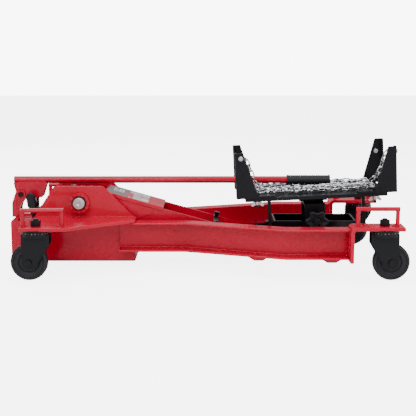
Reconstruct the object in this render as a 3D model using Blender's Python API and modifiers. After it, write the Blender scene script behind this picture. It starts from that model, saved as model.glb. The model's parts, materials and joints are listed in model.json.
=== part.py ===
"""Low-lift transmission jack: rolling frame, hydraulic lift arm, levelled head, tilting saddle.

Metres, +Z up, +X towards the saddle end. The origin is on the floor under the middle of the jack.
"""
import math

import bmesh
import bpy
from mathutils import Matrix, Vector

# ------------------------------------------------------------------ driving sizes
GAP = 0.0003                     # between pieces that touch
RUN = 0.0005                     # running clearance, radial

HALF_LENGTH = 0.5645             # half of the overall length
HALF_WIDTH = 0.265               # outer edge of the caster plates
REAR = -HALF_LENGTH              # the housing, its shaft and the pump are placed from this end
FRONT = HALF_LENGTH              # the head and the front casters are placed from this one

# housing and side plates
HOUSING_HALF = 0.088             # outer face of a side plate
SIDE_WALL = 0.008
HOUSING_LOW = 0.019
HOUSING_TOP = 0.137
HOUSING_REAR = REAR + 0.008
HOUSING_LONG = 0.358
SHOULDER = 0.009                 # upright part of the side plate over the rear plate
SIDE_TOP = 0.238
SIDE_TOP_REAR = -0.073           # ends of the top edge, from the shaft
SIDE_TOP_FRONT = 0.068
SIDE_STEP = (0.0515, 0.066)      # where the rear part steps up, from the rear edge
TRAY_WALL = 0.006
TRAY_FRONT_TOP = 0.062
DECK_LONG = 0.015                # top strip at the rear, in front of the ram

# pivot shaft of the lift arm
SHAFT_X = REAR + 0.208
SHAFT_Z = 0.191
SHAFT_R = 0.0166
SHAFT_HALF = 0.112
COLLAR_R = 0.0286
COLLAR_BORE = 0.0206
COLLAR_LONG = 0.014

# rails
RAIL_LOW = 0.056
RAIL_TOP = 0.140
RAIL_WALL = 0.006
RAIL_FLANGE = 0.0477
RAIL_REAR = SHAFT_X + 0.1135
RAIL_BEND_1 = SHAFT_X + 0.303
RAIL_BEND_2 = FRONT - 0.338
RAIL_SPREAD = HALF_WIDTH - 0.163  # how far the front part stands further out
CROSS_REAR = 0.4125              # rear cross member, from the front end
CROSS_FRONT = 0.0455             # front cross member, from the front plates
CROSS_WIDE = 0.056
CROSS_DEEP = 0.010
CROSS_SLANT = 0.016
CROSS_INSET = 0.010

# caster plates and guards
PLATE = 0.010
FRONT_PLATE_INNER = HALF_WIDTH - 0.070
FRONT_LEG_CLEAR = 0.025          # from its upright leg to a wheel that is turned towards it
FRONT_PLATE_END = FRONT - 0.019
FRONT_PLATE_FOOT = 0.052         # lower end of its upright leg
REAR_PLATE_X = SHAFT_X - 0.144   # outer rear corner
REAR_PLATE_WIDE_TO = SHAFT_X - 0.019
REAR_PLATE_END = SHAFT_X + 0.162
REAR_PLATE_NARROW = 0.046        # its width where it ends
GUARD_R = 0.006
GUARD_TOP = 0.198
REAR_GUARD_TOP = 0.194
GUARD_Y = HALF_WIDTH - 0.030
GUARD_PAST = 0.0055
FRONT_GUARD = (-0.074, 0.034)    # legs of the guards, from the caster stem
REAR_GUARD = (-0.035, 0.072)

# casters
WHEEL_R = 0.051
WHEEL_WIDE = 0.032
CASTER_Y = HALF_WIDTH - 0.035
REAR_CASTER_X = SHAFT_X - 0.102
CASTER_TRAIL = 0.020
FORK_INNER = 0.0185
FORK_WALL = 0.004
FORK_HALF = 0.038                # half of a leg's width below the crown
FORK_TIP = 0.0175                # rounding of a leg about the axle
STEM_R = 0.007
RACE_R = 0.041
RACE_HIGH = 0.006
NUT_R = 0.0145
NUT_HIGH = 0.016
AXLE_R = 0.006

# lift arm
ARM_IN = 0.0604                  # inner face of an arm wall
ARM_WALL = 0.006
ARM_TOP_REAR = (0.012, 0.2326)   # the top edge's ends: along from the shaft and from the head pin, and height
ARM_TOP_FRONT = (-0.113, 0.1062)
ARM_LOW_REAR = (0.0415, 0.1399)  # the lower edge's ends, in the same way
ARM_LOW_FRONT = (-0.158, 0.0620)
ARM_HEEL = (0.052, 0.051, 0.048) # how far the rounded rear end reaches back, up and down
HEAD_PIN_X = FRONT - 0.3465
HEAD_PIN_Z = 0.084
HEAD_PIN_R = 0.008
ARM_TIP_R = 0.018
ARM_FLOOR = 0.006
COVER_REAR = SHAFT_X + 0.0695
COVER_FRONT = SHAFT_X + 0.239
COVER_HIGH = 0.004
COVER_LIP = 0.006
COVER_LIP_WALL = 0.0025
LINK_BACK = 0.028                # the link's pins stand this far back and up from the arm's
LINK_UP = 0.028
LINK_R = 0.0045
LINK_EYE_R = 0.010
LINK_PIN_R = 0.0045
LINK_EYE_HALF = 0.008
LINK_DIP_X = HEAD_PIN_X - 0.148  # lowest bend of the link
LINK_DIP_Z = 0.094

# crank and hydraulics
CRANK_LONG = 0.075
CRANK_ANGLE = math.radians(31.0)
CRANK_CHEEK = (0.018, 0.028)
CRANK_HUB_R = 0.0285
CRANK_TIP_R = 0.0135
CRANK_PIN_R = 0.008
ROLLER_R = 0.015
RAM_R = 0.024
RAM_ROD_R = 0.014
RAM_REAR = REAR + 0.0245
RAM_FRONT = SHAFT_X - 0.0755
RAM_Z = 0.122
RAM_HEAD_R = 0.0165
RAM_END_WALL = 0.008
PUMP_REAR = REAR + 0.0155
PUMP_FRONT = SHAFT_X - 0.0835
PUMP_HALF = 0.062
PLUNGER_X = REAR + 0.0595
PLUNGER_Y = 0.045
PLUNGER_R = 0.009
PLUNGER_TOP = 0.193
PLUNGER_LOW = 0.082
BARREL_R = 0.016
BARREL_TOP = 0.150
VALVE_TOP = 0.135
KNOB_X = REAR + 0.0685
KNOB_Y = -0.045
KNOB_FOOT = 0.1367
KNOB_WIDE = 0.026
KNOB_HIGH = 0.050
KNOB_LEAN = math.radians(8.0)

# handle
HANDLE_X = REAR + 0.027          # pivot
HANDLE_Z = 0.2046
HANDLE_BOLT_R = 0.005
TUBE_R = 0.0105
TUBE_Z = 0.245
TUBE_END = FRONT - 0.1985
GRIP_R = TUBE_R + 0.0045
GRIP_LONG = 0.127
ROCKER_OUT = 0.0165
ROCKER_WALL = 0.005
STAND_OUT = 0.0235
STAND_WALL = 0.006

# head
CRADLE_REAR = HEAD_PIN_X - 0.0145
CRADLE_FRONT = FRONT - 0.122
CRADLE_HALF = 0.0598
CRADLE_TOP = 0.132
CRADLE_LOW = 0.067
CRADLE_WALL = 0.005
TILT_X = FRONT - 0.2405           # fore-and-aft tilt axis
TILT_Z = 0.138
TILT_BOLT_R = 0.007
REST_TILT = math.radians(2.75)
EAR_R = 0.021
BRACKET_OUT = 0.0525
BRACKET_HALF = 0.030
SIDE_AXIS = 0.055                # side tilt axis above the fore-and-aft axis
SIDE_PIN_R = 0.006
KNUCKLE_R = 0.0105
STAR_R = 0.034
STAR_Y = -0.100

# saddle, in its own frame: origin on the tilt axis
SADDLE_HALF_X = 0.2025
SADDLE_HALF_Y = 0.110
SADDLE_TOP = 0.0768
SADDLE_PLATE = 0.010
POST_X = 0.228
POST_Y = 0.115
POST_WALL = 0.005
POST_FOOT = 0.064
POST_TIP = 0.023
POST_HIGH = 0.131
POST_ARM = 0.110
POST_ARM_WIDE = 0.030
POST_ARM_THICK = 0.006
POST_BOLT_X = 0.168
POST_BOLT_Y = 0.095
POST_BOLT_R = 0.004
POST_TRAVEL = 0.020
BAR_X = 0.1345
BAR_Y = -0.092
BAR_WIDE = 0.009
BAR_THICK = 0.006
BAR_LONG = 0.098
CHAIN_HALF_X = 0.185
CHAIN_HALF_Y = 0.072
CHAIN_HIGH = 0.020
CHAIN_MIDDLE = 0.005

# ------------------------------------------------------------------ what follows from them
HEAD_PIN = Vector((HEAD_PIN_X, 0.0, HEAD_PIN_Z))
SHAFT = Vector((SHAFT_X, 0.0, SHAFT_Z))
TILT = Vector((TILT_X, 0.0, TILT_Z))
LINK_STEP = Vector((-LINK_BACK, 0.0, LINK_UP))
FRONT_CASTER_X = FRONT - WHEEL_R - CASTER_TRAIL
FRONT_PLATE_X = FRONT_CASTER_X - CASTER_TRAIL - WHEEL_R - FRONT_LEG_CLEAR
CROSS_X = (FRONT - CROSS_REAR, FRONT_PLATE_X - CROSS_FRONT)
FRONT_PLATE_LOW = RAIL_TOP + 0.001
REAR_PLATE_LOW = RAIL_TOP + GAP
HOUSING_FRONT = HOUSING_REAR + HOUSING_LONG
SIDE_INNER = HOUSING_HALF - SIDE_WALL
ARM_OUT = ARM_IN + ARM_WALL

# ------------------------------------------------------------------ scene set-up
for old in list(bpy.data.objects):
    bpy.data.objects.remove(old, do_unlink=True)

jack = bpy.data.collections.new("transmission_jack")
cutters = bpy.data.collections.new("cutters")
bpy.context.scene.collection.children.link(jack)
bpy.context.scene.collection.children.link(cutters)


def finish_material(name, colour, roughness, metallic):
    made = bpy.data.materials.new(name)
    made.use_nodes = True
    shader = made.node_tree.nodes["Principled BSDF"]
    shader.inputs["Base Color"].default_value = (*colour, 1.0)
    shader.inputs["Roughness"].default_value = roughness
    shader.inputs["Metallic"].default_value = metallic
    made.diffuse_color = (*colour, 1.0)
    return made


FINISHES = {
    "red": ((0.55, 0.012, 0.025), 0.25, 0.0),
    "black": ((0.012, 0.012, 0.014), 0.35, 0.0),
    "rubber": ((0.015, 0.015, 0.016), 0.65, 0.0),
    "steel": ((0.55, 0.54, 0.55), 0.35, 1.0),
    "chrome": ((0.80, 0.80, 0.82), 0.12, 1.0),
}


def publish(item, finish, origin=(0.0, 0.0, 0.0), parent=None):
    """Give a piece its material, collection and origin."""
    move = Vector(origin)
    item.data.transform(Matrix.Translation(-move))
    item.location = item.location + move
    item.data.materials.clear()
    item.data.materials.append(finish_material(item.name, *FINISHES[finish]))
    for home in list(item.users_collection):
        home.objects.unlink(item)
    jack.objects.link(item)
    item.data.shade_smooth()
    item.data.set_sharp_from_angle(angle=math.radians(32.0))
    item.parent = parent
    return item


def from_bmesh(name, shape):
    mesh = bpy.data.meshes.new(name)
    bmesh.ops.recalc_face_normals(shape, faces=shape.faces)
    shape.to_mesh(mesh)
    shape.free()
    item = bpy.data.objects.new(name, mesh)
    cutters.objects.link(item)
    return item


def block(name, low, high):
    shape = bmesh.new()
    bmesh.ops.create_cube(shape, size=1.0)
    low, high = Vector(low), Vector(high)
    size = high - low
    bmesh.ops.scale(shape, vec=size, verts=shape.verts)
    bmesh.ops.translate(shape, vec=(low + high) / 2, verts=shape.verts)
    return from_bmesh(name, shape)


TURNS = {"X": Matrix.Rotation(math.radians(90), 4, "Y"),
         "Y": Matrix.Rotation(math.radians(-90), 4, "X"),
         "Z": Matrix.Identity(4)}


def rod(name, centre, axis, radius, low, high, steps=16):
    """A round bar along one axis, from low to high along that axis."""
    shape = bmesh.new()
    bmesh.ops.create_cone(shape, cap_ends=True, segments=steps, radius1=radius, radius2=radius,
                          depth=high - low)
    bmesh.ops.translate(shape, vec=(0, 0, (low + high) / 2), verts=shape.verts)
    bmesh.ops.transform(shape, matrix=Matrix.Translation(centre) @ TURNS[axis], verts=shape.verts)
    return from_bmesh(name, shape)


def turned(name, profile, centre, axis, steps=20):
    """A turned piece: pairs of radius and height, listed from the top down the outer side."""
    mesh = bpy.data.meshes.new(name)
    points = [(radius, 0.0, height) for radius, height in profile]
    mesh.from_pydata(points, [(n, n + 1) for n in range(len(points) - 1)], [])
    item = bpy.data.objects.new(name, mesh)
    cutters.objects.link(item)
    screw = item.modifiers.new("turn", "SCREW")
    screw.steps = steps
    screw.render_steps = steps
    screw.use_merge_vertices = True
    screw.merge_threshold = 0.00005
    return set_mesh(item, Matrix.Translation(centre) @ TURNS[axis])


def set_mesh(item, place=None):
    """Turn an object and its modifiers into a plain closed mesh, in world coordinates."""
    bpy.context.view_layer.update()
    graph = bpy.context.evaluated_depsgraph_get()
    mesh = bpy.data.meshes.new_from_object(item.evaluated_get(graph))
    mesh.transform(item.matrix_world if place is None else place @ item.matrix_world)
    shape = bmesh.new()
    shape.from_mesh(mesh)
    bmesh.ops.remove_doubles(shape, verts=shape.verts, dist=0.00002)
    bmesh.ops.recalc_face_normals(shape, faces=shape.faces)
    shape.to_mesh(mesh)
    shape.free()
    name = item.name
    bpy.data.objects.remove(item, do_unlink=True)
    fresh = bpy.data.objects.new(name, mesh)
    cutters.objects.link(fresh)
    return fresh


def rounded(corners, steps=4):
    """An outline from corners (a, b, radius), each corner rounded by its own radius."""
    outline = []
    count = len(corners)
    for n, (a, b, radius) in enumerate(corners):
        here = Vector((a, b))
        if radius <= 0.0:
            outline.append(here)
            continue
        before = (Vector(corners[n - 1][:2]) - here).normalized()
        after = (Vector(corners[(n + 1) % count][:2]) - here).normalized()
        half = before.angle(after) / 2
        reach = radius / math.tan(half)
        centre = here + (before + after).normalized() * (radius / math.sin(half))
        start = here + before * reach - centre
        sweep = start.angle_signed(here + after * reach - centre)
        for step in range(steps + 1):
            turn = -sweep * step / steps
            outline.append(centre + Matrix.Rotation(turn, 2) @ start)
    return outline


def plate(name, outline, facing, low, high):
    """A flat plate: an outline in the plane that faces X, Y or Z, between low and high."""
    curve = bpy.data.curves.new(name, "CURVE")
    curve.dimensions = "2D"
    curve.fill_mode = "BOTH"
    curve.extrude = (high - low) / 2
    line = curve.splines.new("POLY")
    line.points.add(len(outline) - 1)
    for point, (a, b) in zip(line.points, outline):
        point.co = (a, b, 0.0, 1.0)
    line.use_cyclic_u = True
    item = bpy.data.objects.new(name, curve)
    cutters.objects.link(item)
    middle = (low + high) / 2
    if facing == "Z":
        place = Matrix.Translation((0, 0, middle))
    elif facing == "Y":
        place = Matrix.Translation((0, middle, 0)) @ Matrix.Rotation(math.radians(90), 4, "X")
    else:
        place = Matrix.Translation((middle, 0, 0)) @ Matrix(
            ((0, 0, 1, 0), (1, 0, 0, 0), (0, 1, 0, 0), (0, 0, 0, 1)))
    return set_mesh(item, place)


def combine(body, tools, operation):
    """Join or cut a piece with others; the others stay behind as guides."""
    for tool in tools:
        change = body.modifiers.new(operation.lower(), "BOOLEAN")
        change.object = tool
        change.operation = operation
        change.solver = "EXACT"
        tool.hide_render = True
        tool.display_type = "WIRE"
    return body


def join(body, *tools):
    return combine(body, tools, "UNION")


def cut(body, *tools):
    return combine(body, tools, "DIFFERENCE")


def baked(body):
    """Settle the joins and cuts of a piece that is turned or moved afterwards."""
    return set_mesh(body)


def pivot(name, place, turn=(0.0, 0.0, 0.0)):
    """An empty on a joint's axis."""
    empty = bpy.data.objects.new(name, None)
    empty.empty_display_size = 0.03
    empty.location = place
    empty.rotation_euler = turn
    jack.objects.link(empty)
    return empty


SIDES = {"right": -1.0, "left": 1.0}


def span(side, inner, outer):
    """Low and high Y of something between two distances from the middle plane."""
    return (inner, outer) if side > 0 else (-outer, -inner)


# ------------------------------------------------------------------ housing
def side_plate(label, side):
    low, high = span(side, SIDE_INNER, HOUSING_HALF)
    outline = rounded([(HOUSING_REAR, HOUSING_LOW, 0.004), (HOUSING_FRONT, HOUSING_LOW, 0.004),
                       (HOUSING_FRONT, HOUSING_TOP + SHOULDER, 0.006),
                       (SHAFT_X + SIDE_TOP_FRONT, SIDE_TOP, 0.012),
                       (SHAFT_X + SIDE_TOP_REAR, SIDE_TOP, 0.012),
                       (HOUSING_REAR + SIDE_STEP[1], HOUSING_TOP + SHOULDER, 0.006),
                       (HOUSING_REAR + SIDE_STEP[0], HOUSING_TOP, 0.004),
                       (HOUSING_REAR, HOUSING_TOP, 0.004)], 3)
    body = plate("side_plate_" + label, outline, "Y", low, high)
    inner, outer = span(side, HOUSING_HALF - 0.002, HOUSING_HALF + COLLAR_LONG)
    collar = rod("collar_" + label, (SHAFT_X, 0, SHAFT_Z), "Y", COLLAR_R, inner, outer, 20)
    inner, outer = span(side, SIDE_INNER - 0.01, HOUSING_HALF + COLLAR_LONG + 0.01)
    recess = rod("collar_bore_" + label, (SHAFT_X, 0, SHAFT_Z), "Y", COLLAR_BORE,
                 *span(side, HOUSING_HALF + 0.004, HOUSING_HALF + COLLAR_LONG + 0.01), 20)
    bore = rod("side_bore_" + label, (SHAFT_X, 0, SHAFT_Z), "Y", SHAFT_R + GAP, inner, outer, 20)
    join(body, collar)
    cut(body, recess, bore)
    publish(body, "red")


for label, side in SIDES.items():
    side_plate(label, side)

tray_half = SIDE_INNER - GAP
tray = block("housing_tray", (HOUSING_REAR, -tray_half, HOUSING_LOW),
             (HOUSING_FRONT, tray_half, HOUSING_LOW + TRAY_WALL))
rear_wall = block("tray_rear", (HOUSING_REAR, -tray_half, HOUSING_LOW),
                  (HOUSING_REAR + TRAY_WALL, tray_half, HOUSING_TOP))
front_wall = block("tray_front", (HOUSING_FRONT - TRAY_WALL, -tray_half, HOUSING_LOW),
                   (HOUSING_FRONT, tray_half, TRAY_FRONT_TOP))
deck = block("tray_deck", (HOUSING_REAR + 0.001, -tray_half, HOUSING_TOP - TRAY_WALL),
             (HOUSING_REAR + DECK_LONG, tray_half, HOUSING_TOP))
join(tray, rear_wall, front_wall, deck)
publish(tray, "red")

shaft = rod("pivot_shaft", SHAFT, "Y", SHAFT_R, -SHAFT_HALF, SHAFT_HALF, 20)
publish(shaft, "steel", SHAFT)


# ------------------------------------------------------------------ rails and cross members
def rail(label, side):
    """A channel that opens outwards, with two bends in plan."""
    back = (HOUSING_HALF + GAP) * side
    edge = back + RAIL_FLANGE * side
    shape = bmesh.new()
    section = [shape.verts.new((RAIL_REAR, y, z)) for y, z in
               ((edge, RAIL_TOP), (back, RAIL_TOP), (back, RAIL_LOW), (edge, RAIL_LOW))]
    edges = [shape.edges.new((section[n], section[n + 1])) for n in range(3)]
    front = FRONT_PLATE_X - GAP
    for step in ((RAIL_BEND_1 - RAIL_REAR, 0.0), (RAIL_BEND_2 - RAIL_BEND_1, RAIL_SPREAD * side),
                 (front - RAIL_BEND_2, 0.0)):
        made = bmesh.ops.extrude_edge_only(shape, edges=edges)["geom"]
        edges = [g for g in made if isinstance(g, bmesh.types.BMEdge)]
        corners = [g for g in made if isinstance(g, bmesh.types.BMVert)]
        bmesh.ops.translate(shape, vec=(step[0], step[1], 0.0), verts=corners)
    item = from_bmesh("rail_" + label, shape)
    for face in item.data.polygons:
        upright = abs(face.normal.z) < 0.5
        if upright:
            inward = face.normal.y * side < 0.0
            break
    wall = item.modifiers.new("wall", "SOLIDIFY")
    wall.thickness = RAIL_WALL
    wall.offset = -1.0 if inward else 1.0
    wall.use_even_offset = True
    wall.use_quality_normals = True
    publish(item, "red")


for label, side in SIDES.items():
    rail(label, side)

for label, x in zip(("rear", "front"), CROSS_X):
    share = min(1.0, (x - RAIL_BEND_1) / (RAIL_BEND_2 - RAIL_BEND_1))
    out = HOUSING_HALF + RAIL_SPREAD * share + RAIL_FLANGE - CROSS_INSET
    top = RAIL_LOW - GAP
    half = CROSS_WIDE / 2
    outline = rounded([(x - half, top, 0.0), (x - half + CROSS_SLANT, top - CROSS_DEEP, 0.004),
                       (x + half - CROSS_SLANT, top - CROSS_DEEP, 0.004), (x + half, top, 0.0)], 3)
    publish(plate("cross_member_" + label, outline, "Y", -out, out), "red")


# ------------------------------------------------------------------ caster plates and guards
front_top = FRONT_PLATE_LOW + PLATE
rear_top = REAR_PLATE_LOW + PLATE


def front_bracket(label, side):
    outline = rounded([(FRONT_PLATE_X, FRONT_PLATE_FOOT, 0.0), (FRONT_PLATE_X + PLATE, FRONT_PLATE_FOOT, 0.0),
                       (FRONT_PLATE_X + PLATE, FRONT_PLATE_LOW, 0.006),
                       (FRONT_PLATE_END, FRONT_PLATE_LOW, 0.0), (FRONT_PLATE_END, front_top, 0.0),
                       (FRONT_PLATE_X, front_top, 0.014)], 5)
    body = plate("front_bracket_" + label, outline, "Y", *span(side, FRONT_PLATE_INNER, HALF_WIDTH))
    hole = rod("front_stem_hole_" + label, (FRONT_CASTER_X, CASTER_Y * side, FRONT_PLATE_LOW), "Z",
               STEM_R + GAP, -0.01, PLATE + 0.01)
    cut(body, hole)
    publish(body, "red")


def rear_plate(label, side):
    inner = HOUSING_HALF + GAP
    outline = rounded([(REAR_PLATE_X, HALF_WIDTH * side, 0.006),
                       (REAR_PLATE_WIDE_TO, HALF_WIDTH * side, 0.010),
                       (REAR_PLATE_END, (HOUSING_HALF + REAR_PLATE_NARROW) * side, 0.006),
                       (REAR_PLATE_END, inner * side, 0.0), (REAR_PLATE_X + 0.012, inner * side, 0.0)], 3)
    body = plate("rear_plate_" + label, outline, "Z", REAR_PLATE_LOW, rear_top)
    hole = rod("rear_stem_hole_" + label, (REAR_CASTER_X, CASTER_Y * side, REAR_PLATE_LOW), "Z",
               STEM_R + GAP, -0.01, PLATE + 0.01)
    cut(body, hole)
    publish(body, "red")


def guard(name, side, stem_x, legs, foot, top):
    """A hoop of round bar: two legs and a bar that runs a little past them."""
    y = GUARD_Y * side
    bar = rod(name, (stem_x, y, top), "X", GUARD_R, legs[0] - GUARD_PAST, legs[1] + GUARD_PAST, 12)
    for along in legs:
        join(bar, rod(name + "_leg", (stem_x + along, y, 0), "Z", GUARD_R * 0.98, foot + GAP, top, 12))
    publish(bar, "red")


for label, side in SIDES.items():
    front_bracket(label, side)
    rear_plate(label, side)
    guard("guard_front_" + label, side, FRONT_CASTER_X, FRONT_GUARD, front_top, GUARD_TOP)
    guard("guard_rear_" + label, side, REAR_CASTER_X, REAR_GUARD, rear_top, REAR_GUARD_TOP)


# ------------------------------------------------------------------ casters
def caster(label, x, side, under, angle):
    """A swivel caster under a plate whose lower face is at height under."""
    name = "caster_" + label
    y = CASTER_Y * side
    race_low = under - GAP - RACE_HIGH
    top = under + PLATE + GAP
    stem = turned(name + "_mount",
                  [(0.0, top + NUT_HIGH + 0.004), (STEM_R, top + NUT_HIGH + 0.004), (STEM_R, under - GAP),
                   (RACE_R, under - GAP), (RACE_R, race_low), (0.010, race_low),
                   (0.010, race_low - 0.004), (0.0, race_low - 0.004)], (x, y, 0), "Z", 16)
    nut = rod(name + "_nut", (x, y, 0), "Z", NUT_R, top, top + NUT_HIGH, 6)
    join(stem, nut)
    publish(stem, "black", (x, y, under))

    home = pivot(name + "_swivel", (x, y, 0.0), (0.0, 0.0, angle))
    crown_top = race_low - GAP
    crown_low = crown_top - 0.010
    crown = rod(name + "_fork", (0, 0, 0), "Z", RACE_R, crown_low, crown_top, 16)
    well = rod(name + "_well", (0, 0, 0), "Z", 0.0105, crown_top - 0.0045, crown_top + 0.01, 16)
    cut(crown, well)
    for end in (-1.0, 1.0):
        tip = FORK_TIP + 0.0001
        outline = rounded([(-FORK_HALF, crown_top - 0.002, 0.005), (FORK_HALF, crown_top - 0.002, 0.005),
                           (CASTER_TRAIL + tip, WHEEL_R - tip, FORK_TIP),
                           (CASTER_TRAIL - tip, WHEEL_R - tip, FORK_TIP),
                           (-FORK_HALF, crown_low - 0.022, 0.004)], 4)
        leg = plate(name + "_leg", outline, "Y", *span(end, FORK_INNER, FORK_INNER + FORK_WALL))
        leg.parent = home
        join(crown, leg)
    well.parent = home
    reach = FORK_INNER + FORK_WALL + 0.006
    axle = rod(name + "_axle", (CASTER_TRAIL, 0, WHEEL_R), "Y", AXLE_R, -FORK_INNER - 0.002,
               FORK_INNER + 0.002, 16)
    head = rod(name + "_head", (CASTER_TRAIL, 0, WHEEL_R), "Y", 0.010, -reach, -FORK_INNER - 0.001, 12)
    cap = rod(name + "_cap", (CASTER_TRAIL, 0, WHEEL_R), "Y", 0.010, FORK_INNER + 0.001, reach, 6)
    for piece in (axle, head, cap):
        piece.parent = home
        join(crown, piece)
    publish(crown, "black", parent=home)

    half = WHEEL_WIDE / 2
    bore = AXLE_R + RUN
    wheel = turned(name + "_wheel",
                   [(bore, half), (0.015, half), (0.018, half - 0.004), (0.033, half - 0.003),
                    (WHEEL_R - 0.008, half - 0.001), (WHEEL_R, half - 0.008), (WHEEL_R, -half + 0.008),
                    (WHEEL_R - 0.008, -half + 0.001), (0.033, -half + 0.003), (0.018, -half + 0.004),
                    (0.015, -half), (bore, -half), (bore, half)],
                   (0, 0, 0), "Y", 24)
    publish(wheel, "rubber", parent=home)
    wheel.location = (CASTER_TRAIL, 0, WHEEL_R)


caster("front_right", FRONT_CASTER_X, -1.0, FRONT_PLATE_LOW, 0.0)
caster("front_left", FRONT_CASTER_X, 1.0, FRONT_PLATE_LOW, math.radians(158.0))
caster("rear_right", REAR_CASTER_X, -1.0, REAR_PLATE_LOW, math.pi)
caster("rear_left", REAR_CASTER_X, 1.0, REAR_PLATE_LOW, math.pi)


# ------------------------------------------------------------------ lift arm
def between(x, rear, front):
    """Height at x of a straight edge whose ends are given from the shaft and from the head pin."""
    first, last = SHAFT_X + rear[0], HEAD_PIN_X + front[0]
    return rear[1] + (front[1] - rear[1]) * (x - first) / (last - first)


def arm_top(x):
    """Height of the top edge of the arm's walls."""
    return between(x, ARM_TOP_REAR, ARM_TOP_FRONT)


def arm_low(x):
    """Height of the lower edge of the arm's walls."""
    return between(x, ARM_LOW_REAR, ARM_LOW_FRONT)


heel, heel_up, heel_down = ARM_HEEL
tip_out, tip_round = HEAD_PIN_X + ARM_TIP_R, ARM_TIP_R - 0.0005
arm_outline = rounded([(SHAFT_X - heel, SHAFT_Z + heel_up, 0.0468),
                       (SHAFT_X + ARM_TOP_REAR[0], ARM_TOP_REAR[1], 0.010),
                       (HEAD_PIN_X + ARM_TOP_FRONT[0], ARM_TOP_FRONT[1], 0.02),
                       (tip_out, HEAD_PIN_Z + ARM_TIP_R, tip_round),
                       (tip_out, HEAD_PIN_Z - ARM_TIP_R, tip_round),
                       (HEAD_PIN_X + ARM_LOW_FRONT[0], ARM_LOW_FRONT[1], 0.02),
                       (SHAFT_X + ARM_LOW_REAR[0], ARM_LOW_REAR[1], 0.02),
                       (SHAFT_X - heel, SHAFT_Z - heel_down, 0.0468)], 4)
arm = plate("lift_arm", arm_outline, "Y", ARM_IN, ARM_OUT)
other_wall = plate("arm_wall", arm_outline, "Y", -ARM_OUT, -ARM_IN)
floor_rear, floor_bend, floor_front = SHAFT_X + 0.0715, HEAD_PIN_X - 0.168, HEAD_PIN_X - 0.088
floor_under = [(floor_rear, arm_low(floor_rear) + 0.004), (floor_bend, arm_low(floor_bend) + 0.004),
               (floor_front, arm_low(floor_front) + 0.019)]
floor_outline = floor_under + [(x, z + ARM_FLOOR) for x, z in reversed(floor_under)]
floor = plate("arm_floor", floor_outline, "Y", -ARM_IN - 0.003, ARM_IN + 0.003)
join(arm, floor, other_wall)
bore_wide = ARM_OUT + 0.01
cut(arm, rod("arm_bore", SHAFT, "Y", SHAFT_R + GAP, -bore_wide, bore_wide, 20),
    rod("head_bore", HEAD_PIN, "Y", HEAD_PIN_R + GAP, -bore_wide, bore_wide, 16))
publish(arm, "red", SHAFT)

head_reach = ARM_OUT + 0.005
head_pin = rod("head_pin", HEAD_PIN, "Y", HEAD_PIN_R, -ARM_OUT, ARM_OUT, 16)
for end in (-1.0, 1.0):
    washer = rod("head_pin_end", HEAD_PIN, "Y", HEAD_PIN_R + 0.004, *span(end, ARM_OUT + GAP, head_reach), 12)
    neck = rod("head_pin_neck", HEAD_PIN, "Y", HEAD_PIN_R * 0.95, *span(end, ARM_OUT - 0.002, head_reach), 12)
    join(head_pin, washer, neck)
publish(head_pin, "steel", HEAD_PIN)

# lid on top of the walls, with a lip down each side
lid_wide = ARM_OUT + GAP + COVER_LIP_WALL


def along_top(rear, front, under, over):
    """A strip that follows the arm's top edge, between two heights above it."""
    return [(rear, arm_top(rear) + under), (front, arm_top(front) + under),
            (front, arm_top(front) + over), (rear, arm_top(rear) + over)]


lid_inside = ARM_OUT + GAP
lid_outline = along_top(COVER_REAR, COVER_FRONT, -COVER_LIP, GAP + COVER_HIGH)
lid_hollow = along_top(COVER_REAR - 0.01, COVER_FRONT + 0.01, -COVER_LIP - 0.01, GAP)
cover = plate("arm_cover", lid_outline, "Y", -lid_wide, lid_wide)
cut(cover, plate("cover_hollow", lid_hollow, "Y", -lid_inside, lid_inside))
publish(cover, "red", SHAFT)

# anchor bracket for the parallel link: two cheeks on the ram cylinder, and the pin between them
anchor_pin = SHAFT + LINK_STEP
anchor_foot = RAM_Z + RAM_R + GAP
anchor_in = LINK_EYE_HALF + 0.001
anchor_out = anchor_in + 0.006
anchor_back = anchor_pin.x - 0.1075
anchor = rod("link_anchor", anchor_pin, "Y", LINK_PIN_R, -anchor_out - 0.002, anchor_out + 0.002, 16)
anchor_outline = rounded([(anchor_back, anchor_foot, 0.0), (RAM_FRONT - 0.008, anchor_foot, 0.010),
                          (anchor_pin.x + 0.012, anchor_pin.z - 0.012, 0.010),
                          (anchor_pin.x + 0.0105, anchor_pin.z + 0.0095, 0.009),
                          (anchor_pin.x - 0.0105, anchor_pin.z + 0.0095, 0.010),
                          (anchor_back, anchor_foot + 0.014, 0.006)], 3)
for end in (-1.0, 1.0):
    join(anchor, plate("anchor_cheek", anchor_outline, "Y", *span(end, anchor_in, anchor_out)))
join(anchor, block("anchor_base", (anchor_back + 0.0005, -anchor_out + 0.001, anchor_foot),
                   (RAM_FRONT - 0.012, anchor_out - 0.001, anchor_foot + 0.005)))
publish(anchor, "black", anchor_pin)

# crank under the shaft, with a cross pin that carries the roller
crank_pin = SHAFT - CRANK_LONG * Vector((math.sin(CRANK_ANGLE), 0, math.cos(CRANK_ANGLE)))
crank = rod("arm_crank", crank_pin, "Y", CRANK_PIN_R, -CRANK_CHEEK[1], CRANK_CHEEK[1], 20)
across = Vector((math.cos(CRANK_ANGLE), 0, -math.sin(CRANK_ANGLE)))
corners = [SHAFT + across * (CRANK_HUB_R - 0.0005), SHAFT - across * (CRANK_HUB_R - 0.0005),
           crank_pin - across * (CRANK_TIP_R - 0.0005), crank_pin + across * (CRANK_TIP_R - 0.0005)]
for end in (-1.0, 1.0):
    low, high = span(end, *CRANK_CHEEK)
    web = plate("crank_web", [(c.x, c.z) for c in corners], "Y", low, high)
    hub = rod("crank_hub", SHAFT, "Y", CRANK_HUB_R, *span(end, CRANK_CHEEK[0], ARM_IN - GAP), 20)
    tip = rod("crank_tip", crank_pin, "Y", CRANK_TIP_R, low, high, 20)
    join(crank, web, hub, tip)
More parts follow.
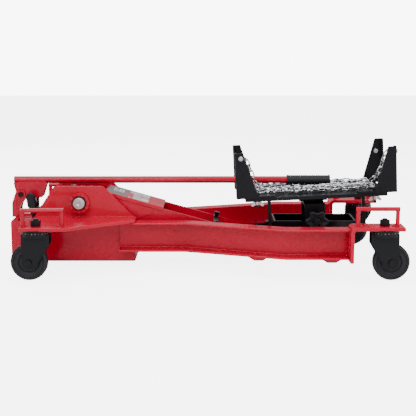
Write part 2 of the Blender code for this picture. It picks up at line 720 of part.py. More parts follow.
cut(crank, rod("crank_bore", SHAFT, "Y", SHAFT_R + GAP, -bore_wide, bore_wide, 20))
publish(crank, "black", SHAFT)

roller_half = CRANK_CHEEK[0] - 0.0006
roller_bore = CRANK_PIN_R + RUN
roller = turned("crank_roller",
                [(roller_bore, roller_half), (ROLLER_R - 0.001, roller_half), (ROLLER_R, roller_half - 0.001),
                 (ROLLER_R, -roller_half + 0.001), (ROLLER_R - 0.001, -roller_half),
                 (roller_bore, -roller_half), (roller_bore, roller_half)], crank_pin, "Y", 16)
publish(roller, "steel", crank_pin)

# ------------------------------------------------------------------ parallel link
link_rear = SHAFT + LINK_STEP
link_front = HEAD_PIN + LINK_STEP
over_shaft = SHAFT_R + LINK_R + 0.003
link_path = [link_rear, SHAFT + Vector((0.012, 0, over_shaft)),
             SHAFT + Vector((0.7, 0, 0.7)) * (over_shaft + 0.003),
             Vector((COVER_REAR - 0.003, 0, arm_low(COVER_REAR) + 0.033)),
             Vector((LINK_DIP_X, 0, LINK_DIP_Z)), link_front]
link = rod("parallel_link", link_rear, "Y", LINK_EYE_R, -LINK_EYE_HALF, LINK_EYE_HALF, 16)
for n, (first, last) in enumerate(zip(link_path, link_path[1:])):
    step = last - first
    low = 0.007 if n == 0 else 0.0
    high = step.length - 0.007 if last is link_front else step.length
    piece = rod("link_bar", (0, 0, 0), "Z", LINK_R, low, high, 10)
    piece.data.transform(Matrix.Translation(first) @ step.to_track_quat("Z", "Y").to_matrix().to_4x4())
    join(link, piece)
    if last is not link_front:
        join(link, rod("link_bend", last, "Y", LINK_R * 1.02, -LINK_R * 0.8, LINK_R * 0.8, 10))
join(link, rod("link_eye", link_front, "Y", LINK_EYE_R, -LINK_EYE_HALF, LINK_EYE_HALF, 16))
pin_hole = LINK_PIN_R + RUN
cut(link, rod("link_hole_rear", link_rear, "Y", pin_hole, -0.02, 0.02, 16),
    rod("link_hole_front", link_front, "Y", pin_hole, -0.02, 0.02, 16))
publish(link, "black", link_rear)

# ------------------------------------------------------------------ hydraulic unit
pump_low = HOUSING_LOW + TRAY_WALL + GAP
pump_top = RAM_Z - RAM_R - GAP
pump = block("pump_body", (PUMP_REAR, -PUMP_HALF, pump_low), (PUMP_FRONT, PUMP_HALF, pump_top))
barrel = rod("barrel", (PLUNGER_X, PLUNGER_Y, 0), "Z", BARREL_R, pump_top - 0.004, BARREL_TOP, 20)
valve = rod("valve_boss", (KNOB_X, KNOB_Y, 0), "Z", 0.011, pump_top - 0.004, VALVE_TOP, 16)
join(pump, barrel, valve)
cut(pump, rod("barrel_bore", (PLUNGER_X, PLUNGER_Y, 0), "Z", PLUNGER_R + RUN, PLUNGER_LOW - 0.007,
              BARREL_TOP + 0.02, 20))
publish(pump, "red")

pin_drop = 0.006
head_r = PLUNGER_R + 0.0035
plunger = turned("pump_plunger",
                 [(0.0, PLUNGER_TOP), (head_r, PLUNGER_TOP), (head_r, PLUNGER_TOP - 0.006),
                  (PLUNGER_R, PLUNGER_TOP - 0.008), (PLUNGER_R, PLUNGER_LOW), (0.0, PLUNGER_LOW)],
                 (PLUNGER_X, PLUNGER_Y, 0), "Z", 20)
publish(plunger, "chrome", (PLUNGER_X, PLUNGER_Y, PLUNGER_TOP))

ram_bore, ram_end = RAM_ROD_R + RUN, RAM_REAR + RAM_END_WALL
ram = turned("ram_cylinder",
             [(ram_bore, RAM_FRONT), (RAM_R, RAM_FRONT), (RAM_R, RAM_REAR), (0.0, RAM_REAR),
              (0.0, ram_end), (ram_bore, ram_end), (ram_bore, RAM_FRONT)], (0, 0, RAM_Z), "X", 20)
publish(ram, "red")

face = crank_pin.x - ROLLER_R - 0.0012
rod_end = ram_end + 0.0015
ram_rod = turned("ram_rod",
                 [(0.0, face), (RAM_HEAD_R, face), (RAM_HEAD_R, face - 0.010), (RAM_ROD_R, face - 0.0115),
                  (RAM_ROD_R, rod_end), (0.0, rod_end)], (0, 0, RAM_Z), "X", 16)
publish(ram_rod, "chrome", (face, 0, RAM_Z))

knob_axis = pivot("release_axis", (KNOB_X, KNOB_Y, KNOB_FOOT), (0.0, -KNOB_LEAN, 0.0))
knob = rod("release_knob", (0, 0, 0), "Z", 0.0055, 0.0, 0.034, 14)
collar = rod("release_collar", (0, 0, 0), "Z", 0.009, 0.012, 0.019, 14)
grip_shape = bmesh.new()
bmesh.ops.create_uvsphere(grip_shape, u_segments=12, v_segments=8, radius=0.5)
bmesh.ops.scale(grip_shape, vec=(KNOB_WIDE, 0.016, KNOB_HIGH), verts=grip_shape.verts)
bmesh.ops.translate(grip_shape, vec=(0, 0, 0.027 + KNOB_HIGH / 2), verts=grip_shape.verts)
oval = from_bmesh("release_grip", grip_shape)
for piece in (collar, oval):
    piece.parent = knob_axis
join(knob, collar, oval)
publish(knob, "black", parent=knob_axis)

# ------------------------------------------------------------------ handle
HANDLE = Vector((HANDLE_X, 0.0, HANDLE_Z))
stand_low = HOUSING_TOP + GAP
stand_outline = rounded([(REAR, stand_low, 0.0), (REAR + 0.023, stand_low, 0.0),
                         (REAR + 0.022, 0.170, 0.040), (HANDLE_X + 0.013, HANDLE_Z - 0.012, 0.012),
                         (HANDLE_X + 0.013, HANDLE_Z + 0.013, 0.0122),
                         (HANDLE_X - 0.013, HANDLE_Z + 0.013, 0.0122), (REAR, 0.178, 0.030)], 4)
stand = plate("fulcrum_stand", stand_outline, "Y", *span(-1.0, STAND_OUT - STAND_WALL, STAND_OUT))
join(stand, plate("stand_wall", stand_outline, "Y", *span(1.0, STAND_OUT - STAND_WALL, STAND_OUT)),
     block("stand_foot", (REAR + 0.001, -STAND_OUT + 0.001, stand_low),
           (REAR + 0.022, STAND_OUT - 0.001, stand_low + 0.007)))
cut(stand, rod("stand_bore", HANDLE, "Y", HANDLE_BOLT_R + GAP, -0.04, 0.04, 16))
publish(stand, "red")

bolt = rod("handle_bolt", HANDLE, "Y", HANDLE_BOLT_R, -STAND_OUT - 0.004, STAND_OUT + 0.004, 16)
join(bolt, rod("handle_bolt_head", HANDLE, "Y", 0.0078, -STAND_OUT - 0.007, -STAND_OUT - GAP, 6),
     rod("handle_bolt_nut", HANDLE, "Y", 0.0078, STAND_OUT + GAP, STAND_OUT + 0.006, 6))
publish(bolt, "black", HANDLE)

tube_rear = HANDLE_X - 0.022
rocker_front = HANDLE_X + 0.077
rocker_outline = rounded([(tube_rear, TUBE_Z - 0.006, 0.002), (HANDLE_X - 0.0125, HANDLE_Z - 0.0105, 0.0115),
                          (rocker_front - 0.0145, HANDLE_Z - 0.0105, 0.004),
                          (rocker_front, TUBE_Z - 0.006, 0.002)], 3)
handle = rod("handle", (0, 0, TUBE_Z), "X", TUBE_R, tube_rear, TUBE_END, 20)
for end in (-1.0, 1.0):
    join(handle, plate("rocker", rocker_outline, "Y", *span(end, ROCKER_OUT - ROCKER_WALL, ROCKER_OUT)))
join(handle, block("rocker_web", (tube_rear + 0.012, -ROCKER_OUT + 0.001, TUBE_Z - 0.0085),
                   (rocker_front - 0.0035, ROCKER_OUT - 0.001, TUBE_Z - 0.004)),
     rod("rocker_pin", (PLUNGER_X, 0, PLUNGER_TOP + GAP + pin_drop), "Y", pin_drop, -ROCKER_OUT - 0.002,
         PLUNGER_Y + 0.011, 16))
cut(handle, rod("rocker_bore", HANDLE, "Y", HANDLE_BOLT_R + RUN, -0.03, 0.03, 16))
publish(handle, "red", HANDLE)

grip_rear = TUBE_END + 0.0045 - GRIP_LONG
grip_bore = TUBE_R + GAP
grip_end = TUBE_END + 0.0045
grip = turned("handle_grip", [(0.0, grip_end), (GRIP_R, grip_end), (GRIP_R, grip_end - 0.004),
                              (GRIP_R - 0.002, grip_end - 0.007), (GRIP_R - 0.002, grip_rear + 0.007),
                              (GRIP_R, grip_rear + 0.004), (GRIP_R, grip_rear), (grip_bore, grip_rear),
                              (grip_bore, TUBE_END + GAP), (0.0, TUBE_END + GAP)], (0, 0, TUBE_Z), "X", 16)
publish(grip, "rubber", HANDLE)

# ------------------------------------------------------------------ cradle
cradle = block("cradle_tray", (CRADLE_REAR, -CRADLE_HALF, CRADLE_LOW),
               (CRADLE_FRONT, CRADLE_HALF, CRADLE_TOP))
cradle_in = CRADLE_HALF - CRADLE_WALL
pocket = block("cradle_pocket", (CRADLE_REAR + CRADLE_WALL, -cradle_in, CRADLE_LOW + CRADLE_WALL),
               (CRADLE_FRONT - CRADLE_WALL, cradle_in, CRADLE_TOP + 0.05))
ears = rod("cradle_ears", (TILT_X, 0, TILT_Z), "Y", EAR_R, -CRADLE_HALF + 0.0005, CRADLE_HALF - 0.0005, 16)
join(cradle, ears)
cut(cradle, pocket)
lug_out = CRADLE_REAR + 0.002
for end in (-1.0, 1.0):
    lug_outline = rounded([(link_front.x - 0.0095, link_front.z + 0.0095, 0.009),
                           (link_front.x - 0.0095, link_front.z - 0.0095, 0.009),
                           (lug_out, link_front.z - 0.034, 0.0), (lug_out, link_front.z + 0.0095, 0.0)], 4)
    lug = plate("link_lug", lug_outline, "Y", *span(end, LINK_EYE_HALF + 0.001, LINK_EYE_HALF + 0.006))
    join(cradle, lug)
pin_half = LINK_EYE_HALF + 0.008
join(cradle, rod("link_pin", link_front, "Y", LINK_PIN_R, -pin_half, pin_half, 16))
cut(cradle, rod("cradle_pin_bore", HEAD_PIN, "Y", HEAD_PIN_R + RUN, -0.08, 0.08, 16),
    rod("cradle_bolt_bore", TILT, "Y", TILT_BOLT_R + RUN, -0.08, 0.08, 16))
publish(cradle, "black", HEAD_PIN)

# ------------------------------------------------------------------ saddle group, built level
saddle_frame = pivot("saddle_frame", TILT, (0.0, -REST_TILT, 0.0))


def seat(piece, finish):
    """Publish a piece of the saddle group under the tilted frame."""
    return publish(baked(piece), finish, parent=saddle_frame)


bracket_top = SIDE_AXIS - KNUCKLE_R - 0.001
bracket = block("tilt_bracket", (-BRACKET_HALF, -BRACKET_OUT, -0.020),
                (BRACKET_HALF, BRACKET_OUT, bracket_top))
knuckle = rod("bracket_knuckle", (0, 0, SIDE_AXIS), "X", KNUCKLE_R, -BRACKET_HALF, BRACKET_HALF, 20)
knuckle_root = block("knuckle_root", (-BRACKET_HALF, -KNUCKLE_R * 0.96, bracket_top - 0.002),
                     (BRACKET_HALF, KNUCKLE_R * 0.96, SIDE_AXIS))
bracket_in = BRACKET_OUT - 0.006
cut(bracket, block("bracket_hollow", (-0.1, -bracket_in, -0.1), (0.1, bracket_in, bracket_top - 0.006)))
join(bracket, knuckle_root, knuckle)
cut(bracket, rod("bracket_bore", (0, 0, 0), "Y", TILT_BOLT_R + RUN, -0.07, 0.07, 16),
    rod("knuckle_bore", (0, 0, SIDE_AXIS), "X", SIDE_PIN_R + GAP, -0.05, 0.05, 16))
seat(bracket, "black")

lug_in = BRACKET_HALF + 0.001
lug_out = lug_in + 0.010
tilt_pin = rod("tilt_pin", (0, 0, SIDE_AXIS), "X", SIDE_PIN_R, -lug_out - 0.006, lug_out + 0.006, 16)
seat(tilt_pin, "steel")

star = rod("star_knob", (0, 0, 0), "Y", STAR_R * 0.80, STAR_Y - 0.010, STAR_Y + 0.010, 16)
for n in range(6):
    turn = 2 * math.pi * n / 6
    lobe_centre = (STAR_R * 0.74 * math.cos(turn), 0, STAR_R * 0.74 * math.sin(turn))
    join(star, rod("star_lobe", lobe_centre, "Y", STAR_R * 0.26, STAR_Y - 0.009, STAR_Y + 0.009, 12))
join(star, rod("star_boss", (0, 0, 0), "Y", 0.014, STAR_Y, -CRADLE_HALF - 0.012, 16),
     rod("star_bolt", (0, 0, 0), "Y", TILT_BOLT_R, STAR_Y, CRADLE_HALF + 0.009, 16))
seat(star, "black")

plate_low = SADDLE_TOP - SADDLE_PLATE
saddle_outline = rounded([(SADDLE_HALF_X * a, SADDLE_HALF_Y * b, 0.006) for a, b in
                          ((-1, -1), (1, -1), (1, 1), (-1, 1))], 3)
saddle = plate("saddle_plate", saddle_outline, "Z", plate_low, SADDLE_TOP)
for end in (-1.0, 1.0):
    low, high = span(end, lug_in, lug_out)
    lug_outline = rounded([(-0.011, SIDE_AXIS - 0.0105, 0.010), (0.011, SIDE_AXIS - 0.0105, 0.010),
                           (0.022, plate_low + 0.002, 0.0), (-0.022, plate_low + 0.002, 0.0)], 4)
    join(saddle, plate("saddle_lug", lug_outline, "X", low, high))
cut(saddle, rod("lug_bore", (0, 0, SIDE_AXIS), "X", SIDE_PIN_R + RUN, -0.06, 0.06, 16))
slot_half = POST_BOLT_R + RUN
for end in (-1.0, 1.0):
    for side in SIDES.values():
        near, far = POST_BOLT_X - slot_half, POST_BOLT_X + POST_TRAVEL + slot_half
        low, high = span(end, near, far)
        y = POST_BOLT_Y * side
        outline = rounded([(low, y - slot_half, 0.003), (high, y - slot_half, 0.003),
                           (high, y + slot_half, 0.003), (low, y + slot_half, 0.003)], 3)
        cut(saddle, plate("post_slot", outline, "Z", plate_low - 0.01, SADDLE_TOP + 0.01))
seat(saddle, "black")

for label, end in (("rear", -1.0), ("front", 1.0)):
    x, bar_top = end * BAR_X, plate_low - GAP
    bar = block("level_bar_" + label, (x - BAR_WIDE / 2, BAR_Y - BAR_THICK / 2, bar_top - BAR_LONG),
                (x + BAR_WIDE / 2, BAR_Y + BAR_THICK / 2, bar_top))
    join(bar, rod("bar_foot", (x, BAR_Y, bar_top - BAR_LONG + 0.010), "Y", 0.009, -0.0045, 0.0045, 14))
    seat(bar, "black")


def post(label, end, side):
    """A corner post: tapered angle, base arm, and the bolt that holds it through the plate."""
    low_z = SADDLE_TOP + GAP
    top_z = SADDLE_TOP + POST_HIGH
    outer = POST_X * end
    low, high = span(side, POST_Y - POST_WALL, POST_Y)
    body = plate("post_" + label, [(outer, low_z), (outer - end * POST_FOOT, low_z),
                                   (outer - end * POST_TIP, top_z), (outer, top_z)], "Y", low, high)
    y_out = POST_Y * side
    flange = plate("post_flange", [(y_out, low_z), (y_out - side * POST_FOOT * 0.6, low_z),
                                   (y_out - side * POST_TIP, top_z), (y_out, top_z)], "X",
                   *sorted((outer, outer - end * POST_WALL)))
    inner_y = (POST_Y - POST_ARM_WIDE) * side
    low_y, high_y = sorted((inner_y, (POST_Y - 0.001) * side))
    low_x, high_x = sorted((outer - end * POST_ARM, outer - end * 0.001))
    foot = block("post_arm", (low_x, low_y, low_z), (high_x, high_y, low_z + POST_ARM_THICK))
    centre = (POST_BOLT_X * end, POST_BOLT_Y * side, 0)
    head_top = low_z + POST_ARM_THICK + 0.006
    bolt_end = plate_low - 0.020
    join(body, flange, foot, rod("post_bolt", centre, "Z", POST_BOLT_R, bolt_end, head_top, 12),
         rod("post_bolt_head", centre, "Z", 0.0075, low_z + POST_ARM_THICK - 0.001, head_top, 6))
    seat(body, "black")

    nut_top = plate_low - GAP
    bore = POST_BOLT_R + RUN
    nut = turned("wing_nut_" + label, [(bore, nut_top), (0.0085, nut_top), (0.0075, nut_top - 0.011),
                                       (bore, nut_top - 0.011), (bore, nut_top)], centre, "Z", 16)
    for wing in (-1.0, 1.0):
        outline = rounded([(centre[0] + wing * 0.0055, nut_top - 0.002, 0.0),
                           (centre[0] + wing * 0.0105, nut_top - 0.001, 0.002),
                           (centre[0] + wing * 0.019, nut_top - 0.010, 0.003),
                           (centre[0] + wing * 0.0165, nut_top - 0.017, 0.004),
                           (centre[0] + wing * 0.0055, nut_top - 0.0105, 0.0)], 3)
        if wing > 0:
            outline.reverse()
        join(nut, plate("wing", outline, "Y", centre[1] - 0.0018, centre[1] + 0.0018))
    seat(nut, "steel")


for label, end, side in (("rear_right", -1.0, -1.0), ("rear_left", -1.0, 1.0),
                         ("front_right", 1.0, -1.0), ("front_left", 1.0, 1.0)):
    post(label, end, side)

# the chain lies in two loose ridges with a low place between them for the handle
heap = bmesh.new()
bmesh.ops.create_grid(heap, x_segments=22, y_segments=10, size=1.0)
bmesh.ops.scale(heap, vec=(CHAIN_HALF_X, CHAIN_HALF_Y, 1.0), verts=heap.verts)
made = bmesh.ops.extrude_face_region(heap, geom=heap.faces[:])["geom"]
upper = [g for g in made if isinstance(g, bmesh.types.BMVert)]
for vert in upper:
    across = abs(vert.co.y) / CHAIN_HALF_Y
    ridge = max(0.0, min(1.0, (across - 0.24) / 0.16)) * max(0.0, min(1.0, (1.06 - across) / 0.3))
    wave = 0.5 + 0.3 * math.sin(vert.co.x * 41.0) + 0.2 * math.sin(vert.co.x * 97.0 + 1.0)
    vert.co.z = CHAIN_MIDDLE + (CHAIN_HIGH - CHAIN_MIDDLE) * ridge * (0.55 + 0.45 * wave)
bmesh.ops.translate(heap, vec=(0, 0, SADDLE_TOP + GAP), verts=heap.verts)
chain = from_bmesh("retaining_chain", heap)
seat(chain, "chrome")
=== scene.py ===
"""Looks of a low-lift transmission jack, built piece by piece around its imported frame."""
import math
import random

import bmesh
import bpy
from mathutils import Matrix, Vector
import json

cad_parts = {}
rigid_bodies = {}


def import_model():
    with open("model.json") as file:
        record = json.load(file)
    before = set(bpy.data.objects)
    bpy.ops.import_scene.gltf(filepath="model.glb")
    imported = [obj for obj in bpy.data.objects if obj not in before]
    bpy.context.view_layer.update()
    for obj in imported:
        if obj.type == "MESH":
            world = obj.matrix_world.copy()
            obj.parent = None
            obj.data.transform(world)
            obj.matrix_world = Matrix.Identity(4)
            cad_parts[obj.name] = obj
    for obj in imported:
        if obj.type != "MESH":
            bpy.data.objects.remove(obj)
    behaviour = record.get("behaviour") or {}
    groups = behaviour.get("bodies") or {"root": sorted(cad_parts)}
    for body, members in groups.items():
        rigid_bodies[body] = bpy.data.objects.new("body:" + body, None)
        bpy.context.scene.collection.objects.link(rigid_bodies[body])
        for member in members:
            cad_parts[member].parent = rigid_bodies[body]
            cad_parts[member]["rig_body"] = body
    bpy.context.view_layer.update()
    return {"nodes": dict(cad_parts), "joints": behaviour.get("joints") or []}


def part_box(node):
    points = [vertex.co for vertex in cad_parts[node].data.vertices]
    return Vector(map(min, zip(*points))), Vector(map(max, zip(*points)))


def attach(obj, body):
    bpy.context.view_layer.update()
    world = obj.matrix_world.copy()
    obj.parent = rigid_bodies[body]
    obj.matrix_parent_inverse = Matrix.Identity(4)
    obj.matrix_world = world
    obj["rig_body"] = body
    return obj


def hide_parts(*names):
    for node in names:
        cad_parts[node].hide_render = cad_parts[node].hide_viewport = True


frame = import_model()

# ---------------------------------------------------------------- camera
# A long lens a little above the jack, square to its right side and looking slightly down.
lens = bpy.data.cameras.new("camera")
lens.lens = 81.6
lens.sensor_width = 36.0
camera = bpy.data.objects.new("camera", lens)
camera.location = (0.0115, -2.755, 0.642)
camera.rotation_euler = (math.radians(80.07), 0.0, 0.0)
bpy.context.scene.collection.objects.link(camera)
bpy.context.scene.camera = camera


# ---------------------------------------------------------------- shader arithmetic
# Every finish below is worked out from the place on the piece. This class lets those
# sums be written as sums: an expression on sockets adds the Math nodes that work it out.
class Wire:
    def __init__(self, tree, socket):
        self.tree = tree
        self.socket = socket

    def node(self, kind, settings=None, inputs=None, output=0):
        """Add a node: its settings first, then a value or a link for each named socket."""
        made = self.tree.nodes.new(kind)
        for key, value in (settings or {}).items():
            if key == "stops":
                ramp = made.color_ramp
                while len(ramp.elements) < len(value):
                    ramp.elements.new(0.5)
                for element, (place, level) in zip(ramp.elements, value):
                    element.position = place
                    element.color = (level, level, level, 1.0)
            else:
                setattr(made, key, value)
        for key, value in (inputs or {}).items():
            if isinstance(value, Wire):
                self.tree.links.new(value.socket, made.inputs[key])
            else:
                made.inputs[key].default_value = value
        return Wire(self.tree, made.outputs[output])

    def sum(self, operation, first, second):
        return self.node("ShaderNodeMath", {"operation": operation}, {0: first, 1: second})

    def __add__(self, other):
        return self.sum("ADD", self, other)

    __radd__ = __add__

    def __mul__(self, other):
        return self.sum("MULTIPLY", self, other)

    __rmul__ = __mul__

    def __sub__(self, other):
        return self.sum("SUBTRACT", self, other)

    def __rsub__(self, other):
        return self.sum("SUBTRACT", other, self)

    def above(self, level):
        return self.sum("GREATER_THAN", self, level)

    def noise(self, scale, detail=3.0, rough=0.5):
        return self.node("ShaderNodeTexNoise", {},
                         {"Vector": self, "Scale": scale, "Detail": detail, "Roughness": rough})

    def ramp(self, *stops):
        return self.node("ShaderNodeValToRGB", {"stops": stops}, {"Fac": self})

    def blend(self, low, high):
        """A colour between two, by this mask."""
        return self.node("ShaderNodeMix", {"data_type": "RGBA"}, {0: self, 6: low, 7: high}, output=2)

    def stretched(self, x, y, z):
        return self.node("ShaderNodeMapping", {}, {"Vector": self, "Scale": (x, y, z)})


def finish(name, **uniform):
    """A new material: its object coordinates, and a function that wires up its surface."""
    made = bpy.data.materials.new(name)
    made.use_nodes = True
    tree = made.node_tree
    shader = tree.nodes["Principled BSDF"]
    for key, value in uniform.items():
        shader.inputs[key.replace("_", " ")].default_value = value
    place = Wire(tree, tree.nodes.new("ShaderNodeTexCoord").outputs["Object"])

    def apply(colour, roughness=None, height=None, depth=0.001, strength=1.0, glow=None):
        for key, value in (("Base Color", colour), ("Roughness", roughness), ("Emission Strength", glow)):
            if value is not None:
                tree.links.new(value.socket, shader.inputs[key])
        if height is not None:
            bump = place.node("ShaderNodeBump", {},
                              {"Strength": strength, "Distance": depth, "Height": height})
            tree.links.new(bump.socket, shader.inputs["Normal"])
        return made

    return place, apply


# ---------------------------------------------------------------- paint, plating and rubber
# Red gloss enamel over pressed steel, black powder coat on the saddle and running gear, zinc on
# the pins, bright chrome on rods and chain, and moulded black rubber and plastic.
def red_enamel(name, deep=(0.43, 0.0, 0.019, 1), light=(0.50, 0.0, 0.026, 1)):
    place, apply = finish(name, Coat_Weight=0.22, Coat_Roughness=0.05, IOR=1.45,
                          Specular_IOR_Level=0.16)
    cloud = place.noise(7.0, 3.0)
    peel = place.noise(300.0, 1.0, 0.4)
    dust = place.noise(38.0, 6.0, 0.65).ramp((0.50, 0.0), (0.80, 1.0))
    shade = cloud.ramp((0.3, 0.0), (0.7, 1.0)).blend(deep, light)
    return apply(shade, 0.22 + cloud * 0.06 + dust * 0.10, height=peel, depth=0.0005, strength=0.10)


def black_coat(name, low=0.26, high=0.42, tone=0.0052):
    place, apply = finish(name, IOR=1.45, Specular_IOR_Level=0.20)
    grain = place.noise(900.0, 2.0, 0.6)
    cloud = place.noise(14.0, 5.0, 0.6)
    scuff = place.stretched(1.0, 6.0, 1.0).noise(60.0, 8.0, 0.7).ramp((0.58, 0.0), (0.78, 1.0))
    dark, worn = (tone, tone, tone * 1.35, 1), (tone * 2.6, tone * 2.6, tone * 3.4, 1)
    shade = (scuff * 0.5 + cloud * 0.3).blend(dark, worn)
    gloss = low + cloud * (high - low) + scuff * 0.08
    return apply(shade, gloss, height=grain, depth=0.0005, strength=0.22)


def moulded(name, tone=0.0072, rough=0.42):
    place, apply = finish(name, IOR=1.45, Specular_IOR_Level=0.34)
    grain = place.noise(1400.0, 3.0, 0.7)
    cloud = place.noise(22.0, 4.0, 0.6)
    shade = cloud.blend((tone, tone, tone * 1.30, 1), (tone * 2.2, tone * 2.2, tone * 2.8, 1))
    return apply(shade, rough + cloud * 0.16, height=grain, depth=0.0004, strength=0.35)


def plated(name, cool, warm, low, high):
    place, apply = finish(name, Metallic=1.0)
    lines = place.stretched(1.0, 0.12, 1.0).noise(700.0, 4.0, 0.6)
    cloud = place.noise(30.0, 5.0, 0.6)
    gloss = low + cloud * (high - low)
    return apply(cloud.blend(cool, warm), gloss, height=lines, depth=0.0003, strength=0.2)


def chromed_with_painted_reflections(name):
    place, apply = finish(name, Metallic=1.0)
    cloud = place.noise(110.0, 2.0, 0.5)
    # The colour jumps between dark and bright patches: painted dark and bright reflections on the chrome, not
    # a change in the plating.
    shade = cloud.ramp((0.40, 0.0), (0.60, 1.0)).blend((0.14, 0.14, 0.16, 1), (0.90, 0.90, 0.93, 1))
    ripple = place.noise(260.0, 2.0)
    return apply(shade, 0.07 + cloud * 0.12, height=ripple, depth=0.0004, strength=0.10)


ENAMEL = red_enamel("red_enamel")
COAT = black_coat("black_coat")
GLOSS_COAT = black_coat("black_gloss_coat", 0.12, 0.22, 0.0040)
RUBBER = moulded("black_rubber")
PLASTIC = moulded("black_plastic", 0.004, 0.34)
ZINC = plated("zinc_plate", (0.50, 0.50, 0.52, 1), (0.66, 0.63, 0.60, 1), 0.22, 0.40)
CHROME = chromed_with_painted_reflections("chrome_plate")
RACE_STEEL = plated("race_steel", (0.16, 0.16, 0.17, 1), (0.30, 0.29, 0.28, 1), 0.30, 0.48)


# ---------------------------------------------------------------- floor and light
# A plain pale studio floor and backdrop, lit from large soft panels above and in front. Both glow
# to the camera alone, which leaves the light on the jack as it is.
def studio():
    floor_glow, sky_light, sky_glow, reach = 5.0, 0.5, 8.0, 9.0
    place, apply = finish("floor_paint", Roughness=0.75, Emission_Color=(1.0, 1.0, 1.0, 1))
    mottle = place.noise(3.0, 3.0)
    shade = mottle.blend((0.86, 0.86, 0.865, 1), (0.90, 0.90, 0.90, 1))
    paint = apply(shade, glow=place.node("ShaderNodeLightPath") * floor_glow)
    ground = bmesh.new()
    bmesh.ops.create_grid(ground, x_segments=1, y_segments=1, size=reach)
    mesh = bpy.data.meshes.new("floor")
    ground.to_mesh(mesh)
    ground.free()
    floor = bpy.data.objects.new("floor", mesh)
    mesh.materials.append(paint)
    bpy.context.scene.collection.objects.link(floor)
    for label, spot, aim, size, power in (
            ("top", (0.0, -0.3, 2.6), (0, 0, 0.1), 2.6, 62.0),
            ("front", (-0.9, -2.8, 2.0), (0, 0, 0.15), 1.6, 52.0),
            ("right", (2.4, -1.4, 1.5), (0.2, 0, 0.15), 1.6, 40.0),
            ("back", (-1.2, 2.4, 1.9), (0, 0, 0.15), 1.8, 40.0)):
        panel = bpy.data.lights.new(label, "AREA")
        panel.shape = "SQUARE"
        panel.size = size
        panel.energy = power
        lamp = bpy.data.objects.new(label + "_light", panel)
        lamp.location = spot
        lamp.rotation_euler = (Vector(aim) - Vector(spot)).to_track_quat("-Z", "Y").to_euler()
        bpy.context.scene.collection.objects.link(lamp)
    sky = bpy.data.worlds.new("studio")
    sky.use_nodes = True
    tree = sky.node_tree
    shader = tree.nodes["Background"]
    shader.inputs["Color"].default_value = (1.0, 1.0, 1.0, 1.0)
    seen = Wire(tree, tree.nodes.new("ShaderNodeLightPath").outputs["Is Camera Ray"])
    tree.links.new((seen * sky_glow + sky_light).socket, shader.inputs["Strength"])
    bpy.context.scene.world = sky


studio()


# ---------------------------------------------------------------- pressed and welded steel
# Plates, channels and brackets keep the outline of the frame. Their flame-cut and bent edges are
# eased here, so that each edge catches the light as real painted steel does.
def settle(name, shape, material, body, node=None, smooth=35.0, weight=True):
    """Make a finished piece of a bmesh, ride it on its body and give it its finish."""
    mesh = bpy.data.meshes.new(name)
    shape.to_mesh(mesh)
    shape.free()
    mesh.materials.append(material)
    mesh.shade_smooth()
    mesh.set_sharp_from_angle(angle=math.radians(smooth))
    piece = bpy.data.objects.new(name, mesh)
    bpy.context.scene.collection.objects.link(piece)
    if weight:
        even = piece.modifiers.new("even_shading", "WEIGHTED_NORMAL")
        even.keep_sharp = True
    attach(piece, body)
    if node:
        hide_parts(node)
    return piece


def middle(node):
    """The middle and the two corners of a frame piece's box."""
    low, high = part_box(node)
    return (Vector(low) + Vector(high)) / 2, Vector(low), Vector(high)


def eased(node, width, material, segments=2, corner=35.0):
    """A frame piece with its edges rounded off by width."""
    shape = bmesh.new()
    shape.from_mesh(frame["nodes"][node].data)
    bmesh.ops.remove_doubles(shape, verts=shape.verts, dist=0.00001)
    flat = math.radians(0.8)
    bmesh.ops.dissolve_limit(shape, angle_limit=flat, verts=shape.verts, edges=shape.edges)
    sharp = math.radians(corner)
    edges = [e for e in shape.edges if len(e.link_faces) == 2 and e.calc_face_angle(0.0) > sharp]
    bmesh.ops.bevel(shape, geom=edges, offset=width, offset_type="OFFSET", affect="EDGES", segments=segments,
                    profile=0.5, material=-1, clamp_overlap=True)
    body = frame["nodes"][node]["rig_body"]
    return settle(node + "_skin", shape, material, body, node)


for label in ("right", "left"):
    eased("side_plate_" + label, 0.0014, ENAMEL)
    eased("rail_" + label, 0.0022, ENAMEL, 3)
    eased("front_bracket_" + label, 0.0016, ENAMEL)
    eased("rear_plate_" + label, 0.0014, ENAMEL)
    eased("guard_front_" + label, 0.0012, ENAMEL, 2, 50.0)
    eased("guard_rear_" + label, 0.0012, ENAMEL, 2, 50.0)
for node in ("housing_tray", "cross_member_rear", "cross_member_front", "fulcrum_stand", "lift_arm"):
    eased(node, 0.0015, ENAMEL)


# ---------------------------------------------------------------- weld beads
# The frame is welded by hand: ripples of overlapping puddles, painted over with the rest.
def bead(shape, start, end, radius, draw):
    """Add the puddles of one weld between two points."""
    start, end = Vector(start), Vector(end)
    run = end - start
    overlap, stray = 0.95, 0.12
    count = max(2, int(run.length / (radius * overlap)))
    for n in range(count + 1):
        off = Vector([draw.uniform(-stray, stray) * radius for _ in range(3)])
        spot = start + run * (n / count) + off
        size = radius * draw.uniform(0.85, 1.12)
        made = bmesh.ops.create_icosphere(shape, subdivisions=2, radius=size)["verts"]
        bmesh.ops.scale(shape, vec=(1.0, 1.0, 0.75), verts=made)
        bmesh.ops.translate(shape, vec=spot, verts=made)


def ring_bead(shape, centre, radius, size, draw):
    """A weld all round the foot of a round bar."""
    centre = Vector(centre)
    count = 11
    for n in range(count):
        turn = 2 * math.pi * n / count
        puddle = size * draw.uniform(0.85, 1.15)
        made = bmesh.ops.create_icosphere(shape, subdivisions=2, radius=puddle)["verts"]
        spot = centre + Vector((math.cos(turn), math.sin(turn), 0)) * radius
        bmesh.ops.translate(shape, vec=spot, verts=made)


